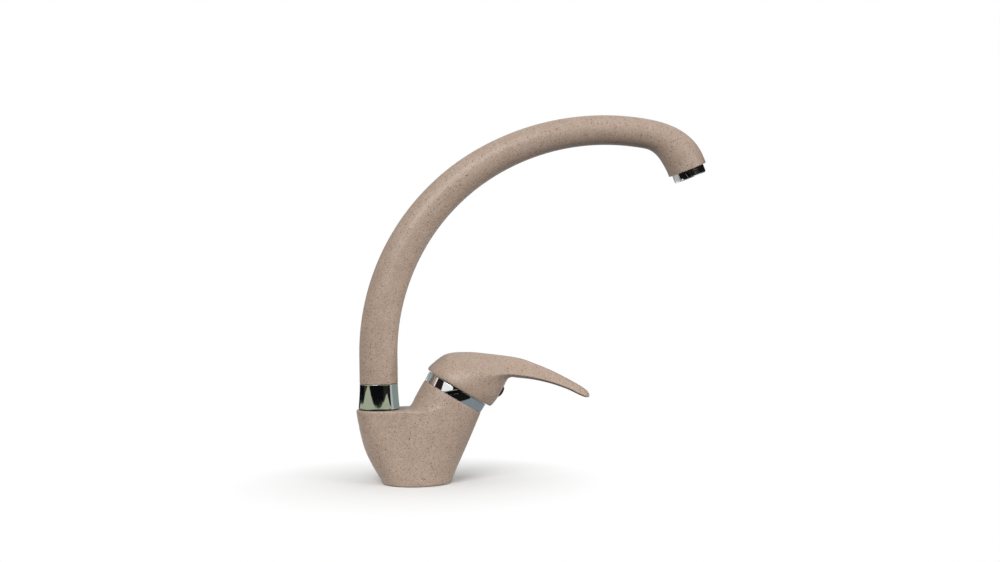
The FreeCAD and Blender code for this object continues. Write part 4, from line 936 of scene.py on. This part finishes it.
def cover_ring():
    """Plated ring under the handle, with a flat flange inside its top."""
    under_flange = RING_HEIGHT - RING_FLANGE
    ring = turned("cover_ring_plated", [
        (RING_BORE, 0.0), (RING_FOOT, 0.0), (RING_TOP, RING_HEIGHT), (RING_OPENING, RING_HEIGHT),
        (RING_OPENING, under_flange), (RING_BORE, under_flange),
    ], in_tower, "tap_body", CHROME, edge=0.15)
    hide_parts("cover_ring")


def spout_collar():
    """Plated collar under the spout, flared towards its foot."""
    flare = [(TUBE_RADIUS + COLLAR_FLARE * (1 - share) ** COLLAR_CURVE,
              COLLAR_LOW + (COLLAR_TOP - COLLAR_LOW) * share) for share in np.linspace(0, 1, 25)]
    collar = turned("collar_plated", [(COLLAR_BORE, COLLAR_LOW)] + flare + [(COLLAR_BORE, COLLAR_TOP)],
                    on_swivel, "spout_unit", CHROME, edge=0.1)
    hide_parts("spout_collar")


def slip_ring():
    """Thin ring that the collar turns on. Its near black finish is painted shade for the shadow in the gap
    under the collar.
    """
    top = SEAT_HEIGHT + SLIP_THICK
    slip = turned("slip_ring_moulded", [
        (SLIP_BORE, SEAT_HEIGHT), (SLIP_RADIUS, SEAT_HEIGHT), (SLIP_RADIUS, top), (SLIP_BORE, top),
    ], on_swivel, "tap_body", NYLON, edge=0.15)
    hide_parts("spout_slip_ring")


# Spout and outlet

def spout_tube():
    """The tall swept spout: widest at its ends, slimmest at its crown."""
    tip_start = RISER + ARCH
    end_start = SPOUT_LENGTH - END_RUN
    # Start, end and number of points of each stretch
    stretches = ((0, END_RUN, 7), (END_RUN, tip_start, 90), (tip_start, end_start, 50),
                 (end_start, SPOUT_LENGTH, 7))
    lengths = [length for start, end, count in stretches for length in np.linspace(start, end, count)[:-1]]
    places = [path_point(length) for length in lengths + [SPOUT_LENGTH]]
    links = [(at, at + 1) for at in range(len(lengths))]
    line = bpy.data.meshes.new("spout_path")
    line.from_pydata([(x, 0.0, z) for x, z, _ in places], links, [])
    tube = grown("spout_tube", swept_tube_tree(), {
        "Foot radius": TUBE_RADIUS, "Crown radius": CROWN_RADIUS, "Mouth radius": MOUTH_RADIUS,
        "Taper start": RISER + TAPER_FROM * ARCH, "Taper end": RISER + TAPER_TO * ARCH,
        "Flare start": tip_start, "Flare end": tip_start + FLARE_TO * TIP_RUN,
        "Length": SPOUT_LENGTH, "Edge": END_EDGE,
    }, COATING, "spout_unit", start=line, crisp=SPOUT_CRISP)
    wall = tube.modifiers.new("wall", "SOLIDIFY")
    wall.thickness = TUBE_WALL * MM
    wall.offset = -1.0
    settle(tube, "spout_tube")
    point_outwards(tube)
    bore(tube, [rod_tool(at_outlet, (0, 0, -POCKET_DEPTH), (0, 0, 1.5), BUSH_POCKET, 96)], SPOUT_CRISP)
    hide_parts("spout")


def aerator_housing():
    """Plated ring at the outlet, with a thin lip that holds the insert."""
    lip = AERATOR_BORE - AERATOR_LIP
    housing = turned("aerator_housing_plated", [
        (AERATOR_BORE, -AERATOR_DEEP), (AERATOR_RADIUS, -AERATOR_DEEP),
        (AERATOR_RADIUS, AERATOR_PROUD - AERATOR_CHAMFER), (AERATOR_RADIUS - AERATOR_CHAMFER, AERATOR_PROUD),
        (lip, AERATOR_PROUD), (lip, AERATOR_PROUD - AERATOR_LIP), (AERATOR_BORE, AERATOR_PROUD - AERATOR_LIP),
    ], at_outlet, "spout_unit", CHROME, edge=0.3)
    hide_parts("aerator_housing")


def outlet_grid(lattice):
    """Straightening grid and its rim."""
    low = GRID_TOP - GRID_THICK
    cells = grown("grid_cells", lattice, {
        "Radius": GRID_RADIUS, "Pitch": GRID_PITCH, "Bar width": GRID_BAR, "Bar depth": GRID_CELL_THICK,
        "Bars": GRID_BARS, "Layer step": 0.0,
    }, ACETAL, "spout_unit", seat=lambda points: at_outlet(points, GRID_TOP - GRID_THICK / 2))
    inner, outer = GRID_RIM
    rim = turned("grid_rim", [(inner, low), (outer, low), (outer, GRID_TOP), (inner, GRID_TOP)], at_outlet,
                 "spout_unit", ACETAL, edge=0.15)
    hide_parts("aerator_grid")
    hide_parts("aerator_grid")


def outlet_screens(lattice):
    """Two woven screens behind the grid."""
    for number, (depth, pitch) in enumerate(SCREENS, start=1):
        level = GRID_TOP - GRID_THICK - depth - WIRE_DEPTH / 2
        screen = grown("woven_screen_%d" % number, lattice, {
            "Radius": SCREEN_RADIUS, "Pitch": pitch, "Bar width": WIRE_WIDTH, "Bar depth": WIRE_DEPTH,
            "Bars": float(int(SCREEN_ACROSS / pitch)), "Layer step": WIRE_STEP,
        }, STEEL, "spout_unit", seat=lambda points: at_outlet(points, level))
        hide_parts("aerator_screens")


def dress_frame():
    """Gives every CAD node that stays the finish of its slot."""
    slots = {part["node"]: part["material_slot"] for part in frame["record"]["subparts"]}
    for name, node in frame["nodes"].items():
        if node.type == "MESH":
            node.data.materials.clear()
            node.data.materials.append(SLOT_FINISH.get(slots.get(name), NYLON))


# Studio, in metres

def ray_share(tree, *kinds):
    """1 for rays of these kinds and 0 for all others."""
    rays = add(tree, "ShaderNodeLightPath").outputs
    share = rays[kinds[0]]
    for kind in kinds[1:]:
        share = add(tree, "ShaderNodeMath", {0: share, 1: rays[kind]}, operation="MAXIMUM")
    return share


def studio_floor():
    """A pale floor that turns into the white backdrop beyond the tap's shadow."""
    floor_size, floor_drop = 6.0, 0.0002
    shadow = {"From Min": 0.04, "From Max": 0.14}
    mesh = bpy.data.meshes.new("studio_floor")
    work = bmesh.new()
    bmesh.ops.create_grid(work, x_segments=8, y_segments=8, size=floor_size)
    work.to_mesh(mesh)
    work.free()
    floor = placed("studio_floor", mesh)
    floor.location.z = -floor_drop
    material, tree, place = blank_material("pale_floor")
    far = add(tree, "ShaderNodeVectorMath", {0: place}, operation="LENGTH").outputs["Value"]
    beyond = add(tree, "ShaderNodeMapRange", {"Value": far, **shadow})
    seen = ray_share(tree, "Is Camera Ray", "Is Glossy Ray")
    white_part = add(tree, "ShaderNodeMath", {0: beyond, 1: seen}, operation="MULTIPLY")
    # The floor sends little light back up, least beyond the shadow, so that undersides stay dark
    dull = add(tree, "ShaderNodeMapRange", {"Value": far, **shadow, "To Min": 0.5})
    unseen = add(tree, "ShaderNodeMath", {0: 1.0, 1: seen}, operation="SUBTRACT")
    dark_part = add(tree, "ShaderNodeMath", {0: dull, 1: unseen}, operation="MULTIPLY")
    paint = add(tree, "ShaderNodeBsdfDiffuse", {"Color": two_tone(tree, dark_part, "F7F7F6", "4C4B4A")})
    glow = add(tree, "ShaderNodeEmission", {"Color": (1, 1, 1, 1), "Strength": 1.0})
    surface = add(tree, "ShaderNodeMixShader", {0: white_part, 1: paint, 2: glow})
    add(tree, "ShaderNodeOutputMaterial", {"Surface": surface})
    mesh.materials.append(material)


def backdrop():
    """White to the eye and in mirrors and glass, but a soft dome of light to the tap, dim below."""
    world = bpy.data.worlds.new("studio")
    bpy.context.scene.world = world
    tree = fresh_tree(world)
    seen = ray_share(tree, "Is Camera Ray", "Is Glossy Ray", "Is Transmission Ray")
    height = add(tree, "ShaderNodeSeparateXYZ", {0: add(tree, "ShaderNodeTexCoord").outputs["Generated"]})
    dome = add(tree, "ShaderNodeMapRange", {"Value": height.outputs["Z"], "From Min": -0.4, "From Max": 0.3,
                                            "To Min": 0.045, "To Max": 0.48})
    soft = add(tree, "ShaderNodeBackground", {"Color": (1, 1, 1, 1), "Strength": dome})
    white = add(tree, "ShaderNodeBackground", {"Color": (1, 1, 1, 1), "Strength": 1.0})
    mixed = add(tree, "ShaderNodeMixShader", {0: seen, 1: soft, 2: white})
    add(tree, "ShaderNodeOutputWorld", {"Surface": mixed})


def lamps():
    """Round lamps that face the tap, each with its place, size, power in watts, spread in degrees, and
    whether mirrors show it. The side lamp's narrow beam reaches the cap's front wall and passes under the
    spout."""
    aim = Vector((0.04, 0, 0.12))
    for name, place, size, power, spread, mirrored in (
            ("key", (-0.5, -1.25, 1.1), 1.0, 16.2, 180, True),
            ("top", (0.15, -0.2, 1.5), 0.9, 0.2, 180, True),
            ("fill", (1.1, -1.1, 0.5), 0.8, 9.2, 180, True),
            ("side", (0.5, -0.14, 0.05), 0.15, 0.04, 36, False),
            ("rim", (-1.0, -0.15, 0.12), 0.3, 1.5, 180, False)):
        lamp = bpy.data.lights.new(name, "AREA")
        lamp.shape = "DISK"
        lamp.size = size
        lamp.energy = power
        lamp.spread = radians(spread)
        holder = placed(name, lamp)
        holder.location = place
        holder.rotation_euler = (aim - Vector(place)).to_track_quat("-Z", "Y").to_euler()
        holder.visible_glossy = mirrored


def mirror_card(name, points, faces, shade):
    """A card that neither the camera nor plain surfaces see, but the plated parts mirror."""
    mesh = bpy.data.meshes.new(name)
    mesh.from_pydata(points, [], faces)
    card = placed(name, mesh)
    material = bpy.data.materials.new(name)
    tree = fresh_tree(material)
    add(tree, "ShaderNodeOutputMaterial",
        {"Surface": add(tree, "ShaderNodeEmission", {"Color": hex_colour(shade)})})
    mesh.materials.append(material)
    card.visible_camera = False
    card.visible_diffuse = False
    card.visible_shadow = False


def standing_card(name, low, tops, shade, reach=0.7):
    """An upright card bent round the collar, from one level up to its tops. A top is a bearing in degrees
    from the camera's side, and the level of the card's upper edge there."""
    points = []
    for (start, high), (end, next_high) in zip(tops, tops[1:]):
        for share in np.linspace(0, 1, 2 + int((end - start) / 8)):
            turn = radians(start + (end - start) * share)
            x, y = -SWIVEL_BACK * MM + reach * sin(turn), -reach * cos(turn)
            points += [(x, y, low), (x, y, high + (next_high - high) * share)]
    faces = [(at, at + 2, at + 3, at + 1) for at in range(0, len(points) - 2, 2)]
    mirror_card(name, points, faces, shade)


def reflections():
    """Dark and pale cards round the tap, which draw the streaks in its plated parts."""
    for name, low, tops, shade in (
        # Mirrored in the collar, from its left edge to its right
        ("card_far_left", 0.0, ((-180, 0.18), (-162, 0.18)), "9DA29E"),
        ("card_left", 0.0, ((-162, 0.015), (-150, 0.028), (-120, 0.055), (-105, 0.07),
                            (-99, 0.07)), "0B0B0F"),
        ("card_left_edge", 0.0, ((-99, 0.07), (-92, 0.06), (-80, 0.042), (-71, 0.025)), "3A3029"),
        ("card_middle", 0.0, ((-71, 0.02), (-62, 0.025), (-58, 0.046), (-48, 0.08), (-36, 0.11), (-25, 0.123),
                              (-5, 0.13), (10, 0.126), (26, 0.106)), "0D0D10"),
        ("card_right", 0.0, ((26, 0.106), (38, 0.085), (47, 0.072), (57, 0.092)), "24241D"),
        ("card_right_edge", 0.0, ((57, 0.092), (62, 0.105), (74, 0.105)), "0C0C0C"),
        ("card_far_right", 0.0, ((74, 0.18), (90, 0.18)), "C6CEC9"),
        ("card_behind_right", 0.0, ((90, 0.18), (106, 0.18)), "A2ACA7"),
        ("card_behind", 0.0, ((106, 0.18), (180, 0.18)), "87918D"),
        # Mirrored in the ring's left half
        ("card_high_behind", 0.19, ((-180, 0.8), (-108, 0.8)), "9BA1A3"),
        ("card_high_far_left", 0.19, ((-104, 0.8), (-92, 0.8)), "5E6468"),
        ("card_high_left", 0.19, ((-86, 0.8), (-52, 0.8)), "2B201D"),
        # Mirrored in the outlet
        ("card_high_right", 0.145, ((-12, 0.5), (160, 0.5)), "1A1817"),
    ):
        standing_card(name, low, tops, shade)
    standing_card("card_pale", 0.02, ((-162, 0.15), (74, 0.15)), "A9AF98", reach=0.72)
    # Close by the collar, these hide the tower from its right edge
    near_reach, near_low, near_top = 0.0195, 0.0557, 0.0755
    standing_card("card_near_right", near_low, ((44, near_top), (54, near_top)), "B6BEBA", near_reach)
    standing_card("card_near_far_right", near_low, ((54, near_top), (122, near_top)), "8A9590", near_reach)
    mirror_card("card_before_outlet", [(0.09, -0.42, 0.16), (0.26, -0.42, 0.16), (0.26, -0.42, 0.24),
                                       (0.09, -0.42, 0.24)], [(0, 1, 2, 3)], "1F1D1C")
    # On the floor, mirrored in the ring and the outlet
    card_level = 0.0005
    for name, corners, shade in (
        ("card_floor_far_left", ((-0.6, -0.03), (-0.2, -0.03), (-0.2, 0.6), (-0.6, 0.6)), "B9BBBA"),
        ("card_floor_front", ((-0.2, -0.2), (0.0, -0.14), (0.145, -0.118), (0.3, -0.24), (0.45, -0.5),
                              (0.3, -0.68), (-0.2, -0.68)), "171615"),
        ("card_floor_left", ((-0.45, -0.03), (-0.2, -0.03), (-0.2, -0.66), (-0.45, -0.66)), "171615"),
        ("card_floor_right", ((0.05, -0.05), (0.0, -0.14), (0.145, -0.118), (0.35, -0.24), (0.4, 0.2),
                              (0.1, 0.2), (0.07, 0.0)), "858D95"),
    ):
        mirror_card(name, [(x, y, card_level) for x, y in corners], [tuple(range(len(corners)))], shade)


def camera():
    """The photograph's view: a little from the left and above the middle, rolled by under a degree."""
    view = bpy.data.cameras.new("view")
    view.lens = 52.66
    view.sensor_width = 36.0
    view.clip_start = 0.01
    place = Vector((-0.05988, -1.09276, 0.16890))
    target = Vector((0.06462, 0.0, 0.14970))
    turn = (target - place).to_track_quat("-Z", "Y").to_matrix().to_4x4()
    holder = placed("view", view)
    holder.matrix_world = Matrix.Translation(place) @ turn @ Matrix.Rotation(radians(-0.7), 4, "Z")
    bpy.context.scene.camera = holder


camera()
body_casting()
handle_cap()
index_plug()
cover_ring()
spout_collar()
slip_ring()
aerator_housing()
spout_tube()
lattice = lattice_tree()
outlet_grid(lattice)
outlet_screens(lattice)
dress_frame()
studio_floor()
backdrop()
lamps()
reflections()

settings = bpy.context.scene.view_settings
settings.view_transform = "Standard"
